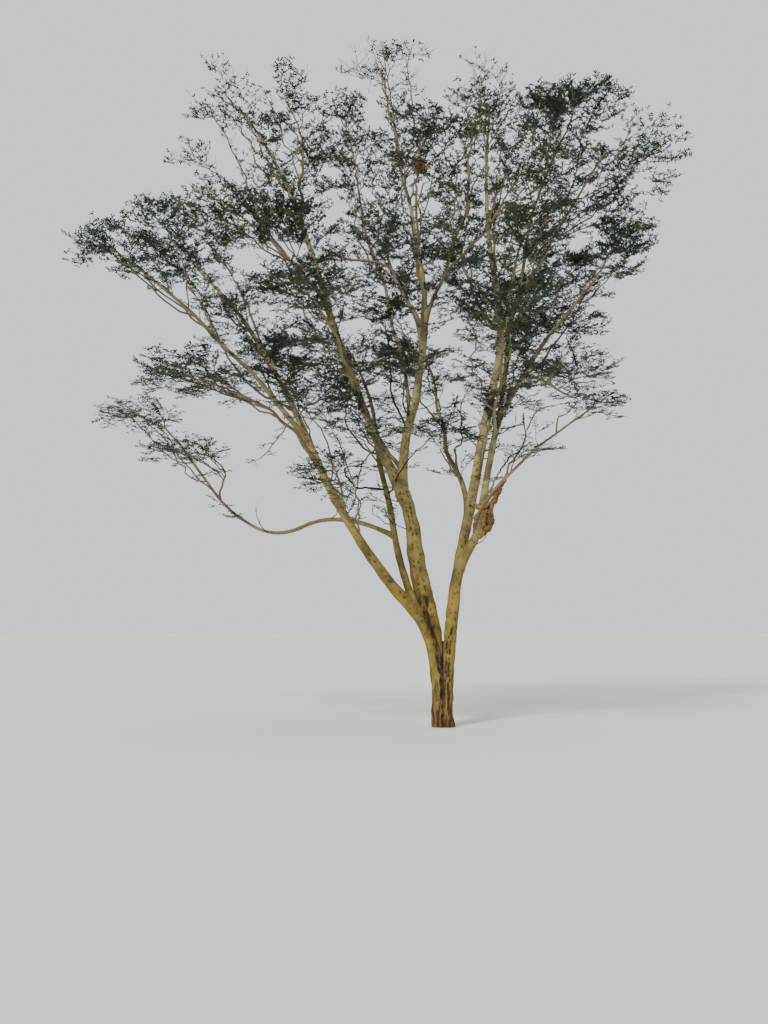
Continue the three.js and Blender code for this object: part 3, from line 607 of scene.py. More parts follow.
# Bark on one bough: lumps, an oval section, burrs and small dark scars.
def addBark(name, random):
    line = limbs[name]["line"]
    metres, radii = ringsOf(name)
    centres, headings = placesAlong(line, metres)
    sides = next(count for least, count in limbRelief["sides"] if radii[0] >= least)
    scars = limbScars
    scarPlaces = scarsOn(name, metres, radii, random)
    fork = limbRust["fork"]
    forkRust = random.uniform(0, 1) ** fork["rarely"] * fork["most"]

    def shaped(places, outward, ring, angle):
        radius, along = radii[ring], metres[ring]
        lump, oval = limbRelief["lump"], limbRelief["oval"]
        swelling = lump["height"] * noiseAt(places, lump["size"])
        swelling += oval["height"] * np.cos(2 * angle + along * oval["twist"])
        moved = radius * swelling
        facing = np.arctan2(outward[:, 1], outward[:, 0])
        scarAndShade = np.zeros(len(places))
        for metre, turn, size in scarPlaces:
            some = np.flatnonzero(np.abs(along - metre) < 3 * scars["along"] * size)
            apart = (facing[some] - turn + math.pi) % (2 * math.pi) - math.pi
            near = (along[some] - metre) ** 2 / (scars["along"] * size) ** 2
            near += (apart * radius[some] / (scars["across"] * size)) ** 2
            scarAndShade[some] = np.maximum(scarAndShade[some], np.exp(-(near**1.5)))
        moved -= scarAndShade * scars["depth"]
        rustAndShade = np.full(len(places), limbRust["on"].get(name, 0.0))
        rustAndShade = np.maximum(rustAndShade, forkRust * np.exp(-((along / fork["length"]) ** 2)))
        rustAndShade *= patchesAt(places, limbRust["patch"])
        for limb, share, size, height, rusty in burrs:
            if limb == name:
                away = (np.linalg.norm(places - line.at(share), axis=1) - radius).clip(0)
                near = np.exp(-(away**2) / size**2) * np.exp(-(((along - share * line.length) / size) ** 2))
                moved += near * height * (1 + burrKnobs["contrast"] * noiseAt(places, burrKnobs["size"]))
                rustAndShade = np.maximum(rustAndShade, near * rusty)
        low, high = limbRelief["slender"]["radius"]
        slender = np.clip((low - radius) / (low - high), 0, 1) * limbRelief["slender"]["most"]
        return places + outward * moved[:, None], {"scarAndShade": scarAndShade, "rustAndShade": rustAndShade, "slender": slender}

    mesh = tubeMesh(centres, headings, radii, sides, shaped)
    addPiece("bark_" + name, mesh, bark, "bough_bark", [name])
    return len(mesh.polygons) * 2


# A smooth line through places.
def lineThrough(places, stations):
    places = np.array(places, float)
    slopes = np.gradient(places, axis=0)
    where = np.linspace(0, len(places) - 1, stations)
    first = np.minimum(where.astype(int), len(places) - 2)
    t = (where - first)[:, None]
    start = places[first] * (1 + 2 * t) * (1 - t) ** 2 + slopes[first] * t * (1 - t) ** 2
    return start + places[first + 1] * t**2 * (3 - 2 * t) + slopes[first + 1] * t**2 * (t - 1)


# Adds a short limb of bark along a line through places.
def addShortLimb(name, line, radii, sides, shaped):
    mesh = tubeMesh(line, unit(np.gradient(line, axis=0)), radii, sides, shaped)
    addPiece(name, mesh, bark, "bough_bark")
    return len(mesh.polygons) * 2


# Gnarled loops of healed wood where the second limb of the right stem bends: radius, and places on the way.
healedLoops = (
    (0.085, ((0.76, -0.5, 4.6), (0.93, -0.64, 4.72), (1.1, -0.68, 4.93), (1.12, -0.66, 5.2), (1, -0.6, 5.5))),
    (0.065, ((1.5, -0.78, 6.08), (1.33, -0.74, 5.76), (1.2, -0.7, 5.48), (1.12, -0.7, 5.25),
        (1.1, -0.68, 5))),
    (0.055, ((0.62, -0.25, 5.6), (0.76, -0.55, 5.46), (0.9, -0.68, 5.38), (1.04, -0.7, 5.4),
        (1.18, -0.68, 5.5))),
    (0.05, ((0.76, -0.5, 4.72), (0.76, -0.62, 4.92), (0.8, -0.68, 5.14), (0.92, -0.7, 5.34))),
    (0.06, ((0.9, -0.6, 4.72), (0.98, -0.72, 4.92), (0.96, -0.74, 5.12), (1.06, -0.7, 5.34))),
)
healedLook = {
    "stations": 40,
    "sides": 16,
    "swell": (0.45, 0.65, 0.6),  # share of the radius at the ends, how much it gains between, and how soon
    "knob": {"size": 0.07, "height": 0.8},  # m, and share of the radius
    "rustAndShade": {"level": 0.5, "rightwards": 2, "from": 1, "least": 0.15, "most": 0.9},  # redder from x = 1 m
    # Painted shade in the dips between the knobs.
    "scarAndShade": {"contrast": 2, "level": -0.3, "most": 0.8},
}


def addHealedLoops():
    faces = 0
    look = healedLook
    least, gain, power = look["swell"]
    share = np.linspace(0, 1, look["stations"])
    for index, (radius, places) in enumerate(healedLoops):
        radii = radius * (least + gain * np.sin(math.pi * share) ** power)

        def shaped(points, outward, ring, angle):
            knobs = noiseAt(points, look["knob"]["size"])
            rusty, scarred = look["rustAndShade"], look["scarAndShade"]
            rustAndShade = rusty["level"] + knobs + rusty["rightwards"] * (points[:, 0] - rusty["from"])
            rustAndShade = np.clip(rustAndShade, rusty["least"], rusty["most"])
            # Painted shade, darker where the surface dips between the knobs.
            scarAndShade = np.clip(-knobs * scarred["contrast"] + scarred["level"], 0, scarred["most"])
            moved = knobs * radius * look["knob"]["height"]
            return points + outward * moved[:, None], {"scarAndShade": scarAndShade, "rustAndShade": rustAndShade, "slender": 0 * rustAndShade}

        line = lineThrough(places, look["stations"])
        faces += addShortLimb(f"healed_loop_{index + 1}", line, radii, look["sides"], shaped)
    return faces


# A short limb that has grown from one limb of the middle stem into the other.
joiningLimb = {
    "from": ("middle_right_bough", 0.12),
    "to": ("middle_left_bough", 0.13),
    "between": ((-1.14, 0.33, 6.64), (-1.32, 0.3, 6.84), (-1.48, 0.27, 7.06)),
    "radius": (0.075, 0.05, 0.06),
    "stations": 40,
    "sides": 18,
    "slender": 0.15,
}


def addJoiningLimb():
    ends = [limbs[name]["line"].at(share) for name, share in (joiningLimb["from"], joiningLimb["to"])]
    line = lineThrough((ends[0], *joiningLimb["between"], ends[1]), joiningLimb["stations"])
    radii = np.interp(np.linspace(0, 1, len(line)), (0, 0.5, 1), joiningLimb["radius"])

    def shaped(points, outward, ring, angle):
        lump = limbRelief["lump"]
        moved = radii[ring] * lump["height"] * noiseAt(points, lump["size"])
        plain = np.zeros(len(points))
        painted = {"scarAndShade": plain, "rustAndShade": plain, "slender": plain + joiningLimb["slender"]}
        return points + outward * moved[:, None], painted

    return addShortLimb("bark_joining_limb", line, radii, joiningLimb["sides"], shaped)


trunkRelief = {
    "sides": 28,
    "ring": 0.06,  # m
    "spurs": {"count": 5, "middle": (0.02, 0), "depth": 0.06, "height": 0.62, "toe": 0.175, "top": 0.079,
        "radius": (0.12, 0.03), "firstTurn": 0.3, "stations": 12},
    "voxel": 0.014,  # m, of the mesh that fuses the stems
    "smoothing": 5,
    # The hollows and the grooves between the ribs are darkened as painted shade.
    "hollow": {"rounds": 30, "deep": 0.007, "from": 0.15},  # m deep where it is fully dark
    "rib": {"across": 0.05, "along": 0.34, "depth": 0.02, "contrast": 3.4, "dark": 0.9},  # m
    "ribFade": (1.15, 2.4),  # the grooves' strength at the ground, and the m over which it fades by one
    "ribFrom": ((0, 0.7, 2.4), (0.02, 0.36, 0.6)),  # heights in m, and the noise at which a groove starts
    "lump": {"size": 0.2, "shift": 5.0, "height": 0.02},
    # Rust and painted shade together over the trunk's foot, darker towards the ground.
    "footRustAndShade": {"full": 1.1, "top": 1.05, "level": 0.75, "contrast": 1.5},  # m up to where it fades by one
    "rustPatch": {"size": 0.4, "shift": 9.0, "contrast": 3, "level": -0.75, "most": 0.6},
    "crevice": {"depth": 0.02, "broken": 0.16, "shift": 2.0, "ragged": 1.3, "narrowest": 0.004,  # m
        "front": (0.3, 2), "gaps": (0.95, 2.2), "widens": ((1.5, 2.5), (1, 1.4))},
}
# Rows of dark scars up the stems, told like the rows of pits.
scarRows = (
    ("left", -75, 0.25, 1, 0.2, 0.8), ("left", -32, 0.3, 1, 0.08, 1.5), ("left", 150, 0.4, 1, 0.2, 0.9),
    ("middle", -125, 0.35, 1, 0.08, 1.4), ("middle", -84, 0.4, 1, 0.11, 1.1),
    ("middle", 60, 0.3, 1, 0.14, 1.1), ("middle", 130, 0.3, 1, 0.2, 0.9),
    ("right", -118, 0.2, 0.85, 0.08, 1.4), ("right", -80, 0.3, 1, 0.16, 1), ("right", 40, 0.3, 1, 0.16, 1),
)
scarShape = {
    "reach": (0.024, 0.024, 0.046),  # m
    "depth": 0.016,
    "size": (0.4, 1.4),
    "turn": (-0.24, 0.24),  # radians that it strays from its row
    "apart": (0.5, 1.9),  # of the row's spacing
}
# Long broken crevices up the trunk's side that faces the viewer, darkened as painted shade: half width in m,
# and x and height along it.
crevices = (
    (0.034, ((-0.04, 0.02), (-0.05, 0.8), (-0.07, 1.22), (-0.15, 1.51), (-0.19, 1.85), (-0.23, 2.16),
        (-0.3, 2.44), (-0.38, 2.63), (-0.4, 2.82), (-0.42, 3.2))),
    (0.022, ((0.13, 0.02), (0.1, 1.01), (0.11, 1.33), (0.13, 1.64), (0.15, 1.93), (0.17, 2.23), (0.24, 2.5),
        (0.26, 2.7))),
    (0.016, ((-0.26, 0.02), (-0.3, 0.67), (-0.32, 1.09), (-0.36, 1.42), (-0.47, 1.93), (-0.57, 2.27),
        (-0.62, 2.43))),
)


def trunkTubes():
    for name in trunkStems:
        line, (thick, thin) = limbs[name]["line"], limbs[name]["radius"]
        metres = np.linspace(0, line.length, math.ceil(line.length / trunkRelief["ring"]))
        radii = thick + (thin - thick) * metres / line.length
        metres, radii = withDome(metres, radii, line.length, thin, thin)
        yield tubeMesh(*placesAlong(line, metres), radii, trunkRelief["sides"])
    spurs = trunkRelief["spurs"]
    for i in range(spurs["count"]):
        turn = (i + spurs["firstTurn"]) / spurs["count"] * 2 * math.pi
        outward = np.array((math.cos(turn), math.sin(turn), 0))
        middle = np.array((*spurs["middle"], 0))
        toe = middle + outward * spurs["toe"] - upward * spurs["depth"]
        top = middle + outward * spurs["top"] + upward * spurs["height"]
        line = LimbLine(toe, upward, top, upward)
        share = np.linspace(0, 1, spurs["stations"])
        radii = tapered(spurs["radius"], share)
        yield tubeMesh(line.at(share), line.heading(share), radii, trunkRelief["sides"])


# The stems and the spurs of the root flare, fused into one smooth mesh.
def fusedTrunk():
    bm = bmesh.new()
    for tube in trunkTubes():
        bm.from_mesh(tube)
    maker = placed("fused", meshFrom(bm, "fused"))
    remesh = maker.modifiers.new("remesh", "REMESH")
    remesh.mode = "VOXEL"
    remesh.voxel_size = trunkRelief["voxel"]
    whole = bpy.data.meshes.new_from_object(maker.evaluated_get(bpy.context.evaluated_depsgraph_get()))
    bpy.data.objects.remove(maker)
    bm = bmesh.new()
    bm.from_mesh(whole)
    axes = {"use_axis_x": True, "use_axis_y": True, "use_axis_z": True}
    for _ in range(trunkRelief["smoothing"]):
        bmesh.ops.smooth_vert(bm, verts=bm.verts, factor=0.5, **axes)
    bm.to_mesh(whole)
    bm.free()
    return whole


# Each vertex's place after it has been drawn towards its neighbours a number of times.
def drawnTogether(points, edges, rounds):
    count = len(points)
    both = np.concatenate([edges[:, 0], edges[:, 1]])
    other = np.concatenate([edges[:, 1], edges[:, 0]])
    neighbours = np.maximum(np.bincount(both, minlength=count), 1)
    for _ in range(rounds):
        sums = [np.bincount(both, weights=points[other, axis], minlength=count) for axis in range(3)]
        points = 0.5 * points + 0.5 * np.stack(sums, axis=1) / neighbours[:, None]
    return points


# How far out each place on the trunk moves, and how dark and rusty it is: hollows, ribs of the root flare,
# rows of scars and long crevices. The hollows, the grooves between the ribs and the crevices are painted
# shade, the scars are real, and the rust over the foot is rust and painted shade together.
def trunkBark(places, normals, edges, random):
    hollow, rib, lump, height = trunkRelief["hollow"], trunkRelief["rib"], trunkRelief["lump"], places[:, 2]
    # Painted shade in the hollows: the deeper a place lies below its smoothed neighbours, the darker.
    depth = ((drawnTogether(places, edges, hollow["rounds"]) - places) * normals).sum(axis=1)
    scarAndShade = np.clip(depth / hollow["deep"] - hollow["from"], 0, 1)
    ridges = noiseAt(places, np.array((rib["across"], rib["across"], rib["along"])))
    strength, over = trunkRelief["ribFade"]
    grooves = np.clip(-ridges * rib["contrast"] - np.interp(height, *trunkRelief["ribFrom"]), 0, 1)
    grooves *= np.clip(strength - height / over, 0, 1)
    moved = lump["height"] * noiseAt(places, lump["size"], lump["shift"]) - grooves * rib["depth"]
    # Painted shade in the grooves between the ribs.
    scarAndShade = np.maximum(scarAndShade, grooves * rib["dark"])

    for stem, degrees, first, last, apart, wide in scarRows:
        line, turn = limbs[stem]["line"], math.radians(degrees)
        metre = line.length * first
        while metre < line.length * last:
            share = metre / line.length
            angle = turn + random.uniform(*scarShape["turn"])
            outward = np.array((math.cos(angle), math.sin(angle), 0))
            middle = line.at(share) + outward * radiusOf(stem, share)
            size = wide * random.uniform(*scarShape["size"])
            offset = (places - middle) / (np.array(scarShape["reach"]) * size)
            near = np.exp(-(offset**2).sum(axis=1))
            moved -= near * scarShape["depth"]
            scarAndShade = np.maximum(scarAndShade, near)
            metre += apart * random.uniform(*scarShape["apart"])

    crevice = trunkRelief["crevice"]
    rough = noiseAt(places, crevice["broken"], crevice["shift"])
    facing = np.clip(crevice["front"][0] - normals[:, 1] * crevice["front"][1], 0, 1)
    unbroken = np.clip(crevice["gaps"][0] + rough * crevice["gaps"][1], 0, 1)
    for wide, bends in crevices:
        across, heights = np.array(bends).T
        middle = np.interp(height, heights, across)
        width = wide * (1 + crevice["ragged"] * rough) * np.interp(height, *crevice["widens"])
        near = np.exp(-(((places[:, 0] - middle) / np.maximum(width, crevice["narrowest"])) ** 2)) * facing
        near *= unbroken * (height < heights[-1])
        moved -= near * crevice["depth"]
        # Painted shade down the middle of the crevice.
        scarAndShade = np.maximum(scarAndShade, near)

    # Rust over the foot, with painted shade that darkens it towards the ground, and patches of rust.
    foot = trunkRelief["footRustAndShade"]
    rustAndShade = np.clip(foot["full"] - height / foot["top"], 0, 1)
    rustAndShade *= np.clip(foot["level"] + ridges * foot["contrast"], 0, 1)
    rustAndShade = np.maximum(rustAndShade, patchesAt(places, trunkRelief["rustPatch"]))
    return moved, {"scarAndShade": scarAndShade, "rustAndShade": rustAndShade, "slender": np.zeros(len(places))}


# A value of all the vertices or edges of a mesh, in a row for each.
def valuesOf(items, key, kind=float, width=3):
    values = np.empty(len(items) * width, kind)
    items.foreach_get(key, values)
    return values.reshape(-1, width)


# The trunk: stems and root flare fused, given their bark, and cut flat at the ground.
def addTrunk(random):
    whole = fusedTrunk()
    places, normals = valuesOf(whole.vertices, "co"), valuesOf(whole.vertex_normals, "vector")
    moved, painted = trunkBark(places, normals, valuesOf(whole.edges, "vertices", int, 2), random)
    whole.vertices.foreach_set("co", (places + normals * moved[:, None]).ravel())
    paint(whole, painted)

    bm = bmesh.new()
    bm.from_mesh(whole)
    everything = [*bm.verts, *bm.edges, *bm.faces]
    ground = {"plane_co": (0, 0, 0), "plane_no": (0, 0, 1), "clear_inner": True}
    cut = bmesh.ops.bisect_plane(bm, geom=everything, **ground)
    rim = [e for e in cut["geom_cut"] if isinstance(e, bmesh.types.BMEdge)]
    bmesh.ops.triangle_fill(bm, edges=rim, use_beauty=True)
    for face in bm.faces:
        face.smooth = abs(face.normal.z) < 0.999 or face.calc_center_median().z > 0.001
    bmesh.ops.recalc_face_normals(bm, faces=bm.faces)
    bm.to_mesh(whole)
    bm.free()
    addPiece("bark_trunk", whole, bark, "trunk_bark", ["trunk"])
    return len(whole.polygons) * 2


# Fine compound leaves. A spray takes one of these tones, and each tone is a piece of its own.
leafTones = {
    "shade": "#242B24",
    "deep": "#303A2B",
    "grey_green": "#435043",
    "cool_green": "#384E47",
    "olive": "#475529",
    "bright": "#5A6C2E",
    "withered": "#8A5426",
}
toneMixes = {  # share of each tone, in the order above
    "usual": (0.22, 0.3, 0.26, 0.08, 0.11, 0.03, 0),
    "cool": (0.18, 0.25, 0.2, 0.3, 0.06, 0.01, 0),
    "sunny": (0.12, 0.2, 0.2, 0.04, 0.29, 0.15, 0),
    "withered": (0, 0, 0, 0, 0, 0, 1),
}
# The crown's skyline as the viewer sees it: x and height in m, at the trunk's distance.
skyline = (
    (-9.62, 12.69), (-8.64, 13.1), (-8, 13.67), (-7.25, 14.85), (-6.62, 16.05), (-6.25, 17.56),
    (-5.05, 17.62), (-4.06, 17.56), (-3.18, 17), (-2.52, 17.68), (-1.05, 17.9), (-0.25, 17.79),
    (0.81, 17.59), (1.53, 17.28), (2, 16.83), (3.19, 16.77), (4.05, 16.97), (4.92, 16.61), (6.03, 15.82),
    (6.65, 15.43),
)
skylineMargin = 0.22  # m that twigs end inside it
crownSides = (-9.35, 6.4)  # m, x of the furthest twigs as the viewer sees them

growth = {
    "highFrom": 12.5,  # m above the ground, from where a mass counts as high in the crown
    "plates": (3, 4),  # flat levels in a mass, low and high in the crown
    "jitter": (0.05, 0.16),  # of its height, that twigs stray from a level, low and high in the crown
    "highest": 0.66,  # share of the space's reach up and down
    "steepest": 0.9,
    "astray": 0.7,  # of a kink, that a place on a twig strays besides
    "ends": (19, 2.0, 0.6),  # twigs for this product of half widths, and the power by which they grow with it
    "reachOut": 0.93,
    "first": 0.6,  # how far out the innermost twigs end
    "turn": 0.25,  # radians that an end strays
}
# The stem that a mass grows from its bough's tip.
ownStem = {"past": 0.3, "inside": 0.05, "stations": 12, "kink": 0.12, "ofTip": 0.95, "tip": 0.014,
    "roots": 0.3, "leafy": 0.6}
# Thin stems that fork off a bough, for a mass and for a clump. Further twigs may start on them from the share
# "roots" of their length, and they are leafy from "leafy".
forks = {
    "mass": {"count": 3, "from": (0.5, 0.93), "turn": (-0.4, 0.4), "level": (-0.35, 0.3), "out": 0.45,
        "keeps": 0.7, "leans": (0.6, 1.1), "flat": 0.6, "snake": (0.06, 0.15), "every": 0.2, "kink": 0.14,
        "ofBough": 0.62, "thickest": 0.036, "tip": 0.014, "roots": 0.35, "leafy": 0.5, "fill": 0.7},
    "clump": {"ends": 11, "out": 0.9, "keeps": 0.6, "flat": 0.4, "snake": (-0.06, 0.06), "every": 0.18,
        "kink": 0.12, "ofBough": 0.5, "thickest": 0.026, "tip": 0.01, "roots": 0.4, "leafy": 0.55,
        "fill": 0.6},
}
twigGrowth = {
    "offers": 0.12,  # m between the places where a twig may start
    "thrift": 0.35,  # how much a twig minds the way back along the wood to the bough
    "ahead": (0.55, 1.5),  # how straight ahead is free, and how much a twig minds turning more
    "near": (0.15, 9),  # m that is too near, and how much a twig minds it
    "keeps": 0.9,  # of the heading where it starts
    "every": 0.16,  # m between a twig's bends
    "kink": 0.14,
    "roots": 0.25,
    "foot": 0.01,  # m, radius of a twig that carries no other
    "thicken": 0.5,  # power by which the radius grows with the number of twigs carried
    "tip": (0.0055, 0.8),  # m, and the most of its foot's radius
    "ofParent": 0.85,
    "stemFrom": 0.0125,  # m of radius, from where it has a stem's bark
    "leafy": (0.1, 0.35),  # share of its length where its leaves start, if it carries few or many
    "many": 4,
}
sideTwigs = {
    "every": 0.115,  # m
    "length": (0.28, 0.52),
    "shortest": 0.1,
    "last": 0.97,  # share of the twig's length where the last but one stands
    "inside": 0.02,  # m that they end inside the mass
    "turn": (40, 75),  # degrees
    "lift": ((9, 16), (0.08, 0.45), 0.25),  # heights in m, the rise there, and how much it differs
    "flat": 0.4,
    "bend": 0.4,
    "sag": (-0.08, 0.12),
    "radius": (0.007, 0.004),
    "leafy": 0.25,
}
twiglets = {"count": 2, "spread": 1.2, "length": (0.12, 0.24), "full": 0.4, "rise": (-0.04, 0.05),
    "radius": (0.0042, 0.0028), "leafy": 0.45}
tuftEvery = 0.064  # m along a leafy twig
withinStep = (0.1, 0.9)  # where a twig stands in its stretch of the wood
fewest = {"offers": 3, "twig": 3, "fork": 6, "filler": 4}  # places along a line
goldenTurn = math.pi * (3 - math.sqrt(5))


def pointsOn(line, shares):
    travelled = travelledAlong(line)
    metres = np.asarray(shares) * travelled[-1]
    places = np.stack([np.interp(metres, travelled, line[:, axis]) for axis in range(3)], axis=-1)
    index = np.clip(np.searchsorted(travelled, metres) - 1, 0, len(line) - 2)
    return places, unit(np.diff(line, axis=0))[index]


def lengthOf(line):
    return np.linalg.norm(np.diff(line, axis=0), axis=1).sum()


def arc(foot, via, end, stations):
    t = np.linspace(0, 1, stations)[:, None]
    return foot * (1 - t) ** 2 + 2 * via * t * (1 - t) + end * t**2


# Metres from a point to the edge of a mass's space.
def roomIn(mass, point, heading):
    start = (point - mass["middle"]) / mass["reach"]
    step = heading / mass["reach"]
    slope = start @ step
    root = slope**2 - (step @ step) * (start @ start - 1)
    return (math.sqrt(root) - slope) / (step @ step) if root > 0 else 0


# Collects twigs of each size, and the tufts of leaves on them with their tone.
class Growth:
    def __init__(self, seed):
        self.random = np.random.default_rng(seed)
        self.lines = {"stems": [], "twigs": [], "fine_twigs": [], "dead_twigs": []}
        self.tufts = []
        self.use("usual", 1.0)

    # From here on the leaves have this mix of tones, and this share of the tufts grows.
    def use(self, mix, leafy):
        shares = np.array(toneMixes[mix], float)
        self.tones, self.leafy = shares / shares.sum(), leafy

    def between(self, low, high):
        return low + (high - low) * self.random.random()

    def add(self, kind, line, radii):
        self.lines[kind].append((line, radii))

    # Sets each place of a line a little to alternate sides, as where a twig has shed side twigs.
    def kinked(self, line, size):
        step = lengthOf(line) / (len(line) - 1)
        sideways = unit(np.cross(unit(line[-1] - line[0]), upward) + (1e-6, 0, 0))
        signs = np.where(np.arange(len(line) - 2) % 2, 1, -1)[:, None]
        astray = self.random.normal(0, step * size * growth["astray"], (len(line) - 2, 3))
        bent = line.copy()
        bent[1:-1] += signs * sideways * step * size + astray
        return bent

    def addTufts(self, line, first, tone):
        count = max(int(lengthOf(line) * (1 - first) / tuftEvery + 0.5), 1)
        shares = np.linspace(first, 1, count) if count > 1 else np.array([1.0])
        places, headings = pointsOn(line, shares)
        grows = self.random.random(count) < self.leafy
        self.tufts.append((places[grows], headings[grows], np.full(count, tone)[grows]))

    # A leafy side twig with a few twiglets, all in one layer. Its leaves share a tone.
    def addSideTwig(self, foot, heading, length):
        tone = self.random.choice(len(self.tones), p=self.tones)
        sag = np.array((0, 0, self.between(*sideTwigs["sag"]) * length))
        bend = turned(heading, self.between(-sideTwigs["bend"], sideTwigs["bend"]))
        line = arc(foot, foot + heading * length * 0.5, foot + (heading + bend) * length * 0.5 + sag, 3)
        self.add("fine_twigs", line, sideTwigs["radius"])
        self.addTufts(line, sideTwigs["leafy"], tone)
        for i in range(twiglets["count"]):
            start, along = pointsOn(line, [(i + 1.0) / (twiglets["count"] + twiglets["spread"])])
            away = turned(along[0], (-1) ** i * math.radians(self.between(*sideTwigs["turn"])))
            reach = self.between(*twiglets["length"]) * min(1, length / twiglets["full"])
            end = start[0] + away * reach + np.array((0, 0, self.between(*twiglets["rise"])))
            twiglet = np.array((start[0], end))
            self.add("fine_twigs", twiglet, twiglets["radius"])
            self.addTufts(twiglet, twiglets["leafy"], tone)

    # Side twigs that alternate to left and right along a twig, lifted more the higher they are in the crown.
    def dress(self, line, fill, first, inside=None):
        amount = lengthOf(line) * (1 - first) / sideTwigs["every"] * fill
        count = max(int(amount + self.random.random()), 1)
        heights, lifts, differs = sideTwigs["lift"]
        for i in range(count + 1):
            atEnd = i == count
            share = 1.0
            if not atEnd:
                share = first + (sideTwigs["last"] - first) * (i + self.between(*withinStep)) / count
            start, along = pointsOn(line, [share])
            lift = np.interp(start[0][2], heights, lifts) + self.between(-differs, differs)
            flat = unit(along[0] * (1, 1, sideTwigs["flat"]) + (1e-6, 0, 0))
            side = 0 if atEnd else math.radians(self.between(*sideTwigs["turn"])) * (-1) ** i
            heading = unit(turned(flat, side) + upward * lift)
            reach = self.between(*sideTwigs["length"])
            if inside:
                reach = min(reach, roomIn(inside, start[0], heading) - sideTwigs["inside"])
            if reach > sideTwigs["shortest"]:
                self.addSideTwig(start[0], heading, reach)


# Grows twigs to all the ends, the nearest first. Each starts on the wood grown so far where the way is short,
# and runs on from the heading there. What carries more twigs is thicker.
def growTo(grown, roots, ends, fill, inside=None):
    lines, feet, parents = [], [], []
    places, headings, ways, owners, shares = [], [], [], [], []

    def offer(line, way, owner, first):
        count = max(int(lengthOf(line) / twigGrowth["offers"]), fewest["offers"])
        share = np.linspace(first, 1, count)
        p, h = pointsOn(line, share)
        places.append(p)
        headings.append(h)
        ways.append(way + share * lengthOf(line))
        owners.append(np.full(count, owner))
        shares.append(share)

    for line, radii, first in roots:
        lines.append(line)
        feet.append(radii)
        parents.append(None)
        offer(line, 0, len(lines) - 1, first)
    start = roots[0][0][0]
    (free, turning), (tooNear, crowding) = twigGrowth["ahead"], twigGrowth["near"]
    for end in sorted(ends, key=lambda e: np.linalg.norm(e - start)):
        p, h, way = np.concatenate(places), np.concatenate(headings), np.concatenate(ways)
        away = end - p
        far = np.linalg.norm(away, axis=1)
        ahead = (h * away).sum(axis=1) / np.maximum(far, 1e-6)
        cost = far + twigGrowth["thrift"] * way + np.maximum(free - ahead, 0) * far * turning
        best = int(np.argmin(cost + (far < tooNear) * crowding))
        via = p[best] + unit(h[best] * twigGrowth["keeps"] + unit(away[best])) * far[best] * 0.5
        stations = max(int(far[best] / twigGrowth["every"]), fewest["twig"]) + 1
        line = grown.kinked(arc(p[best], via, end, stations), twigGrowth["kink"])
        lines.append(line)
        feet.append(None)
        parents.append((int(np.concatenate(owners)[best]), float(np.concatenate(shares)[best])))
        offer(line, way[best], len(lines) - 1, twigGrowth["roots"])

    carried = np.ones(len(lines))
    for i in range(len(lines) - 1, -1, -1):
        if parents[i]:
            carried[parents[i][0]] += carried[i]
    few, many = twigGrowth["leafy"]
    tip, most = twigGrowth["tip"]
    for i, line in enumerate(lines):
        if parents[i]:
            owner, share = parents[i]
            thickest = tapered(feet[owner], share) * twigGrowth["ofParent"]
            radius = min(twigGrowth["foot"] * carried[i] ** twigGrowth["thicken"], thickest)
            feet[i] = (radius, min(tip, radius * most))
            grown.add("stems" if radius > twigGrowth["stemFrom"] else "twigs", line, feet[i])
            grown.dress(line, fill, few if carried[i] < twigGrowth["many"] else many, inside)


# Where a place is seen from the eye, on the plane at the trunk's distance, and how much nearer that plane is.
def seenAt(place):
    eye = np.array(cameraView["place"])
    share = -eye[1] / (place[1] - eye[1])
    return eye + (place - eye) * share, share


# An end moved so that it lies inside the crown's outline as the eye sees it.
def underSkyline(end):
    seen, share = seenAt(end)
    across = min(max(seen[0], crownSides[0]), crownSides[1])
    height = min(seen[2], np.interp(across, *zip(*skyline)) - skylineMargin)
    return end + np.array((across - seen[0], 0, height - seen[2])) / share


# The ends of a mass's twigs, spread by the golden turn over flat plates in its space.
def endsIn(grown, mass, count):
    high = int(mass["middle"][2] >= growth["highFrom"])
    plates, jitter = growth["plates"][high], growth["jitter"][high]
    ends = []
    for i in range(count):
        plate = ((i % plates) + 0.5) / plates * 2 - 1
        level = plate * growth["highest"] + mass["lift"] + grown.between(-jitter, jitter)
        level = min(max(level, -growth["steepest"]), growth["steepest"])
        out = math.sqrt((i // plates + growth["first"]) / math.ceil(count / plates)) * growth["reachOut"]
        spread = min(out, 1) * math.sqrt(1 - level**2)
        turn = i * goldenTurn + grown.between(-growth["turn"], growth["turn"])
        end = np.array((math.cos(turn) * spread, math.sin(turn) * spread, level))
        ends.append(underSkyline(mass["middle"] + end * mass["reach"]))
    return ends


# A thin stem that forks off the bough of a mass or clump: its line, its thickness, and where twigs may start.
def growFork(grown, mass, share, tip, leaving, toward, snake, look):
    foot = limbs[mass["on"]]["line"].at(share)
    fork = LimbLine(foot, leaving, tip, unit(toward * (1, 1, look["flat"])), snake)
    stations = max(int(fork.length / look["every"]), fewest["fork"])
    line = grown.kinked(fork.at(np.linspace(0, 1, stations)), look["kink"])
    thickness = (min(radiusOf(mass["on"], share) * look["ofBough"], look["thickest"]), look["tip"])
    grown.add("stems", line, thickness)
    grown.dress(line, mass["fill"] * look["fill"], look["leafy"])
    return line, thickness, look["roots"]


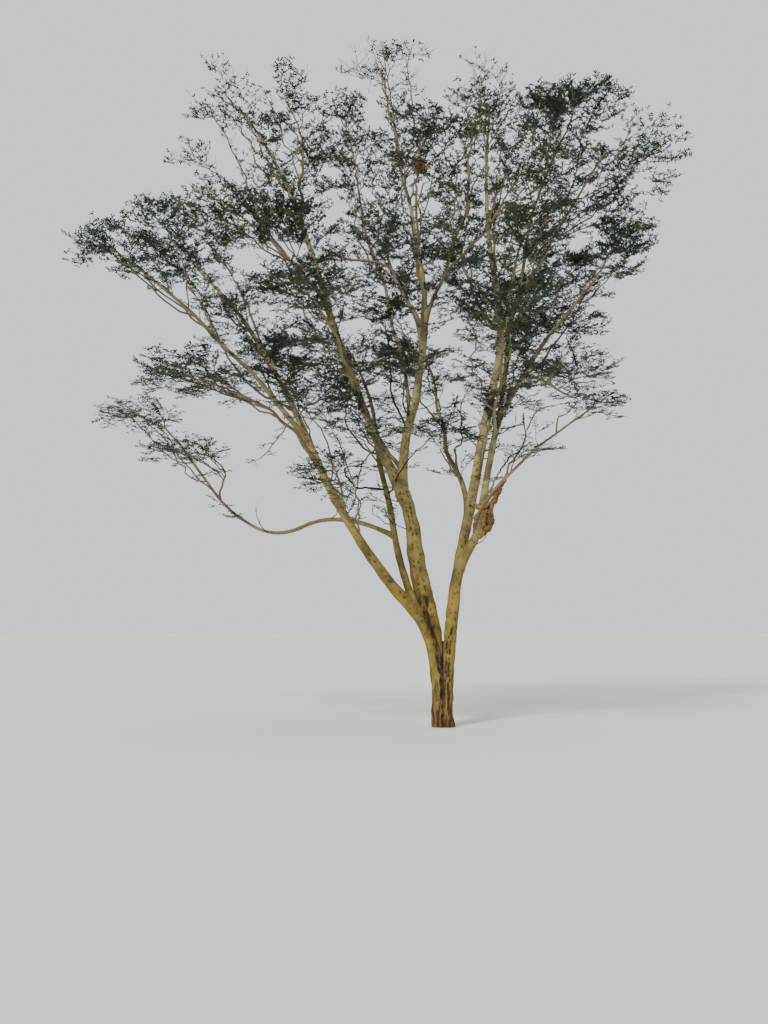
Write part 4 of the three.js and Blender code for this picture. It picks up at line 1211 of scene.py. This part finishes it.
# A mass of foliage: its own stem from the bough's tip, and thin stems that fork off the bough below.
def growMass(grown, mass):
    middle, reach, fill = mass["middle"], mass["reach"], mass["fill"]
    bough = limbs[mass["on"]]
    grown.use(mass["mix"], mass["leafy"])
    start, thin = bough["line"].at(1.0), bough["radius"][1]
    onward = unit(middle - start)
    end = underSkyline(middle + onward * roomIn(mass, middle, onward) * ownStem["past"])
    stem = LimbLine(start - bough["arriving"] * ownStem["inside"], bough["arriving"], end, onward)
    line = grown.kinked(stem.at(np.linspace(0, 1, ownStem["stations"])), ownStem["kink"])
    roots = [(line, (thin * ownStem["ofTip"], ownStem["tip"]), ownStem["roots"])]
    grown.add("stems", line, roots[0][1])
    grown.dress(line, fill, ownStem["leafy"], mass)
    look = forks["mass"]
    near, far = look["from"]
    firstTurn = grown.between(0, 2 * math.pi)
    for i in range(look["count"]):
        share = near + (far - near) * (i + grown.between(*withinStep)) / look["count"]
        foot, heading = bough["line"].at(share), bough["line"].heading(share)
        turn = firstTurn + i * 2 * math.pi / look["count"] + grown.between(*look["turn"])
        level = grown.between(*look["level"])
        tip = np.array((math.cos(turn) * look["out"], math.sin(turn) * look["out"], level))
        tip = underSkyline(middle + tip * reach)
        sideways = unit(tip - foot - heading * ((tip - foot) @ heading))
        leaving = unit(heading * look["keeps"] + sideways * grown.between(*look["leans"]))
        snake = grown.between(*look["snake"]) * (-1) ** i
        roots.append(growFork(grown, mass, share, tip, leaving, tip - foot, snake, look))
    width, power = growth["ends"][1:]
    count = round(growth["ends"][0] * fill * (reach[0] * reach[1] / width) ** power)
    growTo(grown, roots, endsIn(grown, mass, count), fill, mass)


# A clump hangs on one thin stem that forks off a bough.
def growClump(grown, clump):
    look, bough = forks["clump"], limbs[clump["on"]]["line"]
    grown.use(clump["mix"], clump["leafy"])
    foot, heading = bough.at(clump["at"]), bough.heading(clump["at"])
    toward = clump["middle"] - foot
    leaving = unit(heading * look["keeps"] + unit(toward - heading * (toward @ heading)))
    tip = underSkyline(foot + toward * look["out"])
    snake = grown.between(*look["snake"])
    root = growFork(grown, clump, clump["at"], tip, leaving, toward, snake, look)
    growTo(grown, [root], endsIn(grown, clump, look["ends"]), clump["fill"], clump)


# Leafy side branches on the boughs below and between the masses.
fillers = {
    "every": 0.34,  # m along a bough
    "from": 0.2,
    "last": 0.98,
    "grows": ((4.8, 8), (0, 1)),  # heights in m, and the share of them that grow there
    "out": (0.5, 1.6),  # m from the bough
    "shorter": (1.15, 0.5),  # share of that at its foot, and how much less it is at its tip
    "low": ((5, 9), (0.55, 1)),  # heights in m, and the share of that there
    "onward": ((6, 12), (0.1, 0.5)),  # heights in m, and how far they run on along the bough there
    "rise": 0.2,
    "mass": 0.8,  # of a mass's space, in which none end
    "fill": 0.8,
    "root": (0.4, 0.016),  # share of the bough's radius at the foot, and m at the tip
    "station": 0.1,  # m
}
# Gaps in the crown where light shows through: left, right, lowest and highest in m, at the trunk's distance.
openGaps = (
    (-5.1, -4.05, 11.5, 12.4),
    (0.75, 1.6, 13.9, 15.5),
    (-1.75, -1.4, 15.4, 18.6),
    (-8.2, -6.7, 10.0, 11.6),
    (-5.8, -3.9, 5.6, 8.0),
    (-3.7, -2.6, 6.4, 7.6),
    (-5.92, -4.7, 14.11, 15.49),
)


def seenInGap(point):
    seen, _ = seenAt(point)
    return any(left < seen[0] < right and low < seen[2] < high for left, right, low, high in openGaps)


def inMass(point):
    offsets = [(point - mass["middle"]) / mass["reach"] for mass in masses.values()]
    return any(offset @ offset < fillers["mass"] for offset in offsets)


def growBetween(grown, name):
    line = limbs[name]["line"]
    grown.use("usual", 1.0)
    count = int(line.length * (1 - fillers["from"]) / fillers["every"])
    turn = grown.between(0, 2 * math.pi)
    most, less = fillers["shorter"]
    ends = []
    for i in range(count):
        share = fillers["from"] + (fillers["last"] - fillers["from"]) * (i + grown.between(0, 1)) / count
        foot, heading = line.at(share), line.heading(share)
        turn += goldenTurn
        if grown.random.random() > np.interp(foot[2], *fillers["grows"]):
            continue
        away = turned(np.array((1.0, 0, 0)), turn)
        far = grown.between(*fillers["out"]) * (most - less * share) * np.interp(foot[2], *fillers["low"])
        onward = heading * far * np.interp(foot[2], *fillers["onward"])
        end = foot + away * far + onward + upward * far * grown.between(0, fillers["rise"])
        if not inMass(end) and not seenInGap(end):
            ends.append(underSkyline(end))
    if ends:
        stations = max(int(line.length / fillers["station"]), fewest["filler"])
        ofBough, tip = fillers["root"]
        thickness = (limbs[name]["radius"][0] * ofBough, tip)
        root = (line.at(np.linspace(0, 1, stations)), thickness, fillers["from"])
        growTo(grown, [root], ends, fillers["fill"])


# Dead hooked twigs low on the limbs: limb, share of its length, turn in degrees from +X, length in m.
deadTwigs = (
    ("middle_stem", 0.55, 200, 0.9), ("middle_stem", 0.82, 160, 1.2), ("slim_stem", 0.3, 190, 0.8),
    ("low_bough_end", 0.2, 250, 1.0), ("left_stem", 0.3, 80, 0.7), ("right_stem", 0.3, 20, 0.8),
    ("knee", 0.5, 330, 0.6), ("middle_left_bough", 0.2, 100, 0.9), ("middle_right_bough", 0.5, 10, 1.1),
    ("left_stem", 0.5, 260, 0.8), ("right_bough", 0.3, 340, 0.8), ("low_bough", 0.7, 300, 0.7),
)
deadLook = {
    "radius": (0.016, 0.004),
    "stations": (6, 4),  # along a twig, and along its hook
    "runs": (0.75, 0.7),  # of its length, to its bend and to its tip
    "rise": (0.15, 0.6),  # where it leaves the limb, and towards its tip
    "astray": 0.02,  # m
    "hooks": (0.45, 0.75),  # shares of its length where they stand
    "hookRadius": (0.008, 0.003),
    "hookRise": 0.4,
    "hook": (0.2, 0.25, 0.12),  # m that it runs to its bend and its tip, and that it comes back
}


def growDeadTwigs(grown):
    look = deadLook
    bend, reach, back = look["hook"]
    for name, share, degrees, length in deadTwigs:
        foot, turn = limbs[name]["line"].at(share), math.radians(degrees)
        away = np.array((math.cos(turn), math.sin(turn), look["rise"][0]))
        end = foot + away * length * look["runs"][1] + upward * length * look["rise"][1]
        twig = arc(foot, foot + away * length * look["runs"][0], end, look["stations"][0])
        twig[1:-1] += grown.random.normal(0, look["astray"], (len(twig) - 2, 3))
        grown.add("dead_twigs", twig, look["radius"])
        for side in look["hooks"]:
            start, along = pointsOn(twig, [side])
            heading = unit(turned(along[0], grown.between(-1, 1)) + upward * look["hookRise"])
            tip = start[0] + heading * reach - away * back
            hook = arc(start[0], start[0] + heading * bend, tip, look["stations"][1])
            grown.add("dead_twigs", hook, look["hookRadius"])


# Thin crooked limbs between the stems: the limb that each leaves and the share of its length, radius at foot
# and tip, kind, and the places on the way.
crookedLimbs = (
    ("middle_left_bough", 0.215, (0.03, 0.013), "stems", ((-2.48, -0.07, 8.23), (-2.95, -0.37, 8.19),
        (-3.36, -0.67, 7.94), (-3.53, -0.87, 7.71), (-3.75, -0.97, 7.5), (-3.98, -0.97, 7.17),
        (-4.29, -0.87, 6.79), (-4.53, -0.77, 6.57))),
    ("slim_stem", 0.421, (0.03, 0.014), "dead_twigs", ((-1.89, 0.57, 6.03), (-2.18, 0.42, 6.02),
        (-2.35, 0.37, 6.18), (-2.49, 0.32, 6.38), (-2.43, 0.32, 6.54), (-2.18, 0.37, 6.57),
        (-1.87, 0.42, 6.55))),
    ("left_stem", 0.228, (0.022, 0.012), "stems", ((-2.07, -0.25, 5.46), (-2.22, -0.1, 5.79),
        (-2.54, 0, 6.05), (-2.78, 0, 6.59))),
    ("slim_stem", 0.584, (0.022, 0.012), "stems", ((-2.04, 1.08, 6.76), (-2.19, 0.98, 6.14),
        (-2.25, 0.93, 5.77), (-2.32, 0.88, 5.51))),
    ("slim_stem", 0.404, (0.026, 0.013), "dead_twigs", ((-1.21, 0.38, 6.04), (-1.13, -0.02, 6.26),
        (-0.83, -0.42, 6.67), (-0.41, -0.52, 7.05))),
    ("right_bough", 0.053, (0.03, 0.015), "stems", ((1.2, -0.66, 5.92), (1.31, -0.71, 6.16),
        (1.45, -0.76, 6.39), (1.66, -0.86, 6.65))),
    ("right_bough", 0.068, (0.034, 0.015), "stems", ((1.43, -0.75, 5.97), (1.6, -0.85, 6.39),
        (1.77, -0.9, 6.61), (1.92, -0.95, 6.88), (2.08, -1, 7.38), (2.27, -1.05, 7.69), (2.51, -1.05, 7.82))),
    ("right_slender_bough", 0.704, (0.024, 0.011), "stems", ((2.72, -1.38, 7.46), (2.94, -1.43, 7.57),
        (3.19, -1.43, 7.86))),
    ("middle_right_bough", 0.376, (0.034, 0.018), "dead_twigs", ((-1.25, 0.31, 8.34), (-1.3, 0.51, 8.98),
        (-1.43, 0.61, 10.24))),
    ("middle_right_bough", 0.444, (0.026, 0.012), "dead_twigs", ((-1, -0.12, 8.11), (-0.97, -0.22, 8.66),
        (-0.82, -0.27, 8.83))),
    ("middle_right_bough", 0.98, (0.055, 0.024), "stems", ((-1.1, -0.09, 11.22), (-1.36, -0.04, 11.7),
        (-1.84, 0, 11.89), (-2.48, 0.06, 12), (-3.02, 0.11, 12.28))),
    ("crossing_bough", 0.231, (0.034, 0.014), "stems", ((0.36, 0.23, 6.76), (0.34, 0.13, 6.97),
        (0.49, 0.03, 7.13), (0.5, -0.07, 7.53), (0.47, -0.17, 7.93), (0.58, -0.27, 8.32))),
    ("crossing_bough", 0.17, (0.034, 0.014), "stems", ((0.3, 0.14, 6.38), (0.07, 0.04, 6.72),
        (-0.05, 0.04, 6.96))),
)
crookedLook = {"perPlace": 4, "astray": 0.012, "fill": 0.35, "leafy": 0.45}  # stations for a place, m, shares


def growCrookedLimbs(grown):
    look = crookedLook
    grown.use("usual", 1.0)
    for name, share, radii, kind, places in crookedLimbs:
        line = lineThrough((limbs[name]["line"].at(share), *places), len(places) * look["perPlace"])
        line[1:-1] += grown.random.normal(0, look["astray"], (len(line) - 2, 3))
        grown.add(kind, line, radii)
        grown.dress(line, look["fill"], look["leafy"])


# A mesh from arrays of vertices and triangles.
def arrayMesh(name, points, triangles):
    mesh = bpy.data.meshes.new(name)
    mesh.vertices.add(len(points))
    mesh.vertices.foreach_set("co", np.ascontiguousarray(points, np.float32).ravel())
    mesh.loops.add(len(triangles) * 3)
    mesh.loops.foreach_set("vertex_index", np.ascontiguousarray(triangles, np.int32).ravel())
    mesh.polygons.add(len(triangles))
    mesh.polygons.foreach_set("loop_start", np.arange(0, len(triangles) * 3, 3, dtype=np.int32))
    mesh.update(calc_edges=True)
    return mesh


# Closed tubes of a few sides along many lines that have the same number of places.
def tubesAlong(lines, radii, sides):
    count, stations = lines.shape[:2]
    headings = unit(np.gradient(lines, axis=1))
    side = unit(np.cross(headings, (0.13, 0.31, 1.0)))
    other = np.cross(headings, side)
    angle = np.arange(sides) / sides * 2 * math.pi
    ring = np.cos(angle)[:, None] * side[:, :, None] + np.sin(angle)[:, None] * other[:, :, None]
    points = lines[:, :, None] + ring * radii[:, :, None, None]
    index = np.arange(count * stations * sides).reshape(count, stations, sides)
    a, b = index[:, :-1], index[:, 1:]
    c, d = np.roll(b, -1, axis=2), np.roll(a, -1, axis=2)
    faces = [(a, d, c), (a, c, b)]
    foot, tip = index[:, 0], index[:, -1]
    faces += [(foot[:, 0], foot[:, k + 1], foot[:, k]) for k in range(1, sides - 1)]
    faces += [(tip[:, 0], tip[:, k], tip[:, k + 1]) for k in range(1, sides - 1)]
    triangles = [np.stack(corners, axis=-1).reshape(-1, 3) for corners in faces]
    return points.reshape(-1, 3), np.concatenate(triangles)


def twigMesh(name, lines, sides):
    points, triangles, total = [], [], 0
    for stations in sorted({len(line) for line, _ in lines}):
        chosen = [(line, radii) for line, radii in lines if len(line) == stations]
        share = np.linspace(0, 1, stations)
        radii = np.array([tapered(radius, share) for _, radius in chosen])
        p, t = tubesAlong(np.array([line for line, _ in chosen]), radii, sides)
        points.append(p)
        triangles.append(t + total)
        total += len(p)
    return arrayMesh(name, np.concatenate(points), np.concatenate(triangles))


# A compound leaf as one blade: a midrib with pairs of pointed side leaves, folded up a little.
leafShape = {
    "length": (0.066, 0.1),  # m
    "width": 0.7,  # of its length
    "pairs": 2,
    "apex": 0.27,  # how far on along the midrib a side leaf's point is
    "fold": 0.06,  # how far up it is
    "swell": (0.75, 0.6),  # where along the midrib the blade is widest
    "perTuft": 4,
    "turn": (20, 100),  # degrees to either side of the twig
    "pitch": (-42, 48),
    "roll": (-60, 60),
    "flatter": ((8, 13), (0.4, 1)),  # heights in m, and the share of pitch and roll that leaves have there
    "flat": 0.3,
}
clearing = {"gap": 0.03, "every": 0.1, "atOnce": 4000}  # m that leaves are clear of a limb, and its stations
leafLook = {"roughness": 0.6, "specular": 0.3}  # small leaves with a thin dull wax, which hardly shine
mostTriangles = 190000  # in a piece


def leafPattern():
    pairs, (start, end) = leafShape["pairs"], leafShape["swell"]
    ribs = np.linspace(0, 1, pairs + 1)
    points = [(x, 0, 0) for x in ribs]
    triangles = []
    for i in range(pairs):
        swell = math.sin(math.pi * (i + start) / (pairs + end))
        for side in (1, -1):
            across = side * leafShape["width"] / 2 * swell
            points.append((ribs[i] + leafShape["apex"], across, leafShape["fold"] * swell))
            last = len(points) - 1
            triangles.append((i, i + 1, last) if side > 0 else (i + 1, i, last))
    return np.array(points, float), np.array(triangles)


def leavesOn(places, headings, random):
    each = leafShape["perTuft"]
    pattern, triangles = leafPattern()
    root = np.repeat(places, each, axis=0)
    along = np.repeat(headings, each, axis=0)
    total = len(root)
    side = np.where(np.arange(total) % 2, 1, -1)
    turn = side * np.radians(random.uniform(*leafShape["turn"], total))
    amount = np.interp(root[:, 2], *leafShape["flatter"])
    pitch = np.radians(random.uniform(*leafShape["pitch"], total)) * amount
    flat = unit(along * (1, 1, leafShape["flat"]) + (1e-6, 0, 0))
    heading = unit(turned(flat, turn) + upward * np.tan(pitch)[:, None])
    level = unit(np.cross(upward, heading))
    above = np.cross(heading, level)
    roll = (np.radians(random.uniform(*leafShape["roll"], total)) * amount)[:, None]
    across = level * np.cos(roll) + above * np.sin(roll)
    normal = above * np.cos(roll) - level * np.sin(roll)
    length = random.uniform(*leafShape["length"], total)[:, None, None]
    blade = pattern[:, :1] * heading[:, None] + pattern[:, 1:2] * across[:, None]
    points = root[:, None] + length * (blade + pattern[:, 2:] * normal[:, None])
    indices = triangles[None] + (np.arange(total) * len(pattern))[:, None, None]
    return points.reshape(-1, 3), indices.reshape(-1, 3)


# Which places are clear of all the limbs, so that no leaf grows in the wood.
def clearOfLimbs(places):
    middles, radii = [], []
    for name, limb in limbs.items():
        share = np.linspace(0, 1, math.ceil(limb["line"].length / clearing["every"]))
        middles.append(limb["line"].at(share))
        radii.append(radiusOf(name, share))
    middles, radii = np.concatenate(middles), np.concatenate(radii)
    clear = []
    for some in np.array_split(places, math.ceil(len(places) / clearing["atOnce"])):
        apart = np.linalg.norm(some[:, None] - middles[None], axis=2) - radii
        clear.append(apart.min(axis=1) > clearing["gap"])
    return np.concatenate(clear)


def addLeaves(grown):
    places, headings, tones = (np.concatenate(column) for column in zip(*grown.tufts))
    clear = clearOfLimbs(places)
    places, headings, tones = places[clear], headings[clear], tones[clear]
    replaced = ["foliage_" + name for name in masses]
    total = 0
    perTuft = leafShape["perTuft"] * leafShape["pairs"] * 2
    for index, (tone, hexValue) in enumerate(leafTones.items()):
        chosen = np.flatnonzero(tones == index)
        material = plainMaterial("feathery_leaf_" + tone, hexValue, leafLook)
        parts = max(math.ceil(len(chosen) * perTuft / mostTriangles), 1)
        for part, some in enumerate(np.array_split(chosen, parts)):
            points, triangles = leavesOn(places[some], headings[some], grown.random)
            name = f"leaves_{tone}_{part + 1}"
            addPiece(name, arrayMesh(name, points, triangles), material, "foliage", replaced)
            replaced = ()  # the first piece stands for all the masses
            total += len(triangles)
    return len(places), total


# Thin living wood, from the grey-brown forked stems inside a mass down to dark leafy twigs. Its bark is dry
# and finely cracked, so it hardly shines.
twigBark = {"roughness": 0.85, "specular": 0.2}
twigKinds = {
    "stems": {"colour": "#766C56", "sides": 6, "slot": "bough_bark"},
    "twigs": {"colour": "#40392E", "sides": 4, "slot": "foliage"},
    "fine_twigs": {"colour": "#342F26", "sides": 3, "slot": "foliage"},
    "dead_twigs": {"colour": "#3A3229", "sides": 5, "slot": "foliage"},
}


# Twigs of a kind in pieces of a bounded size.
def addTwigs(grown):
    total = 0
    for kind, look in twigKinds.items():
        material = plainMaterial("thin_bark_" + kind, look["colour"], twigBark)
        lines, sides = grown.lines[kind], look["sides"]
        weights = np.cumsum([(len(line) - 1) * sides * 2 + (sides - 2) * 2 for line, _ in lines])
        parts = math.ceil(weights[-1] / mostTriangles)
        ends = [np.searchsorted(weights, weights[-1] * part / parts) for part in range(parts)] + [len(lines)]
        for part in range(parts):
            name = kind if parts == 1 else f"{kind}_{part + 1}"
            mesh = twigMesh(name, lines[ends[part] : ends[part + 1]], sides)
            addPiece(name, mesh, material, look["slot"])
            total += len(mesh.polygons)
            print(" ", name, "with", len(mesh.polygons), "triangles")
    return total


studio = {
    "floor": {"colour": "#DCDAD2", "radius": 300, "segments": 64, "roughness": 0.9, "specular": 0.3},
    "world": {"colour": "#E9EEF3", "strength": 1.15},
    "sun": {"strength": 3.0, "width": 12, "turn": (52, 0, -32)},  # degrees: a soft key from the upper left
}


def addStudio():
    look = studio["floor"]
    bm = bmesh.new()
    bmesh.ops.create_circle(bm, cap_ends=True, radius=look["radius"], segments=look["segments"])
    mesh = meshFrom(bm, "floor")
    mesh.materials.append(plainMaterial("matt_paint_floor", look["colour"], look))
    placed("floor", mesh)
    world = bpy.data.worlds.new("pale")
    world.use_nodes = True
    background = world.node_tree.nodes["Background"]
    background.inputs["Color"].default_value = colourOf(studio["world"]["colour"])
    background.inputs["Strength"].default_value = studio["world"]["strength"]
    bpy.context.scene.world = world
    data = bpy.data.lights.new("sun", "SUN")
    data.energy = studio["sun"]["strength"]
    data.angle = math.radians(studio["sun"]["width"])
    placed("sun", data).rotation_euler = [math.radians(a) for a in studio["sun"]["turn"]]


seeds = {"bark": 11, "crown": 29}


def build():
    random = np.random.default_rng(seeds["bark"])
    faces = addTrunk(random)
    for name in boughs:
        faces += addBark(name, random)
    faces += addHealedLoops() + addJoiningLimb()
    print("bark made:", faces, "triangles")
    grown = Growth(seeds["crown"])
    for mass in masses.values():
        growMass(grown, mass)
    for clump in clumps.values():
        growClump(grown, clump)
    for name in boughs:
        growBetween(grown, name)
    growDeadTwigs(grown)
    growCrookedLimbs(grown)
    print("crown grown")
    print("twigs made:", addTwigs(grown), "triangles")
    tufts, faces = addLeaves(grown)
    print("leaves made:", tufts, "tufts,", faces, "triangles")
    addStudio()


build()
print("done")
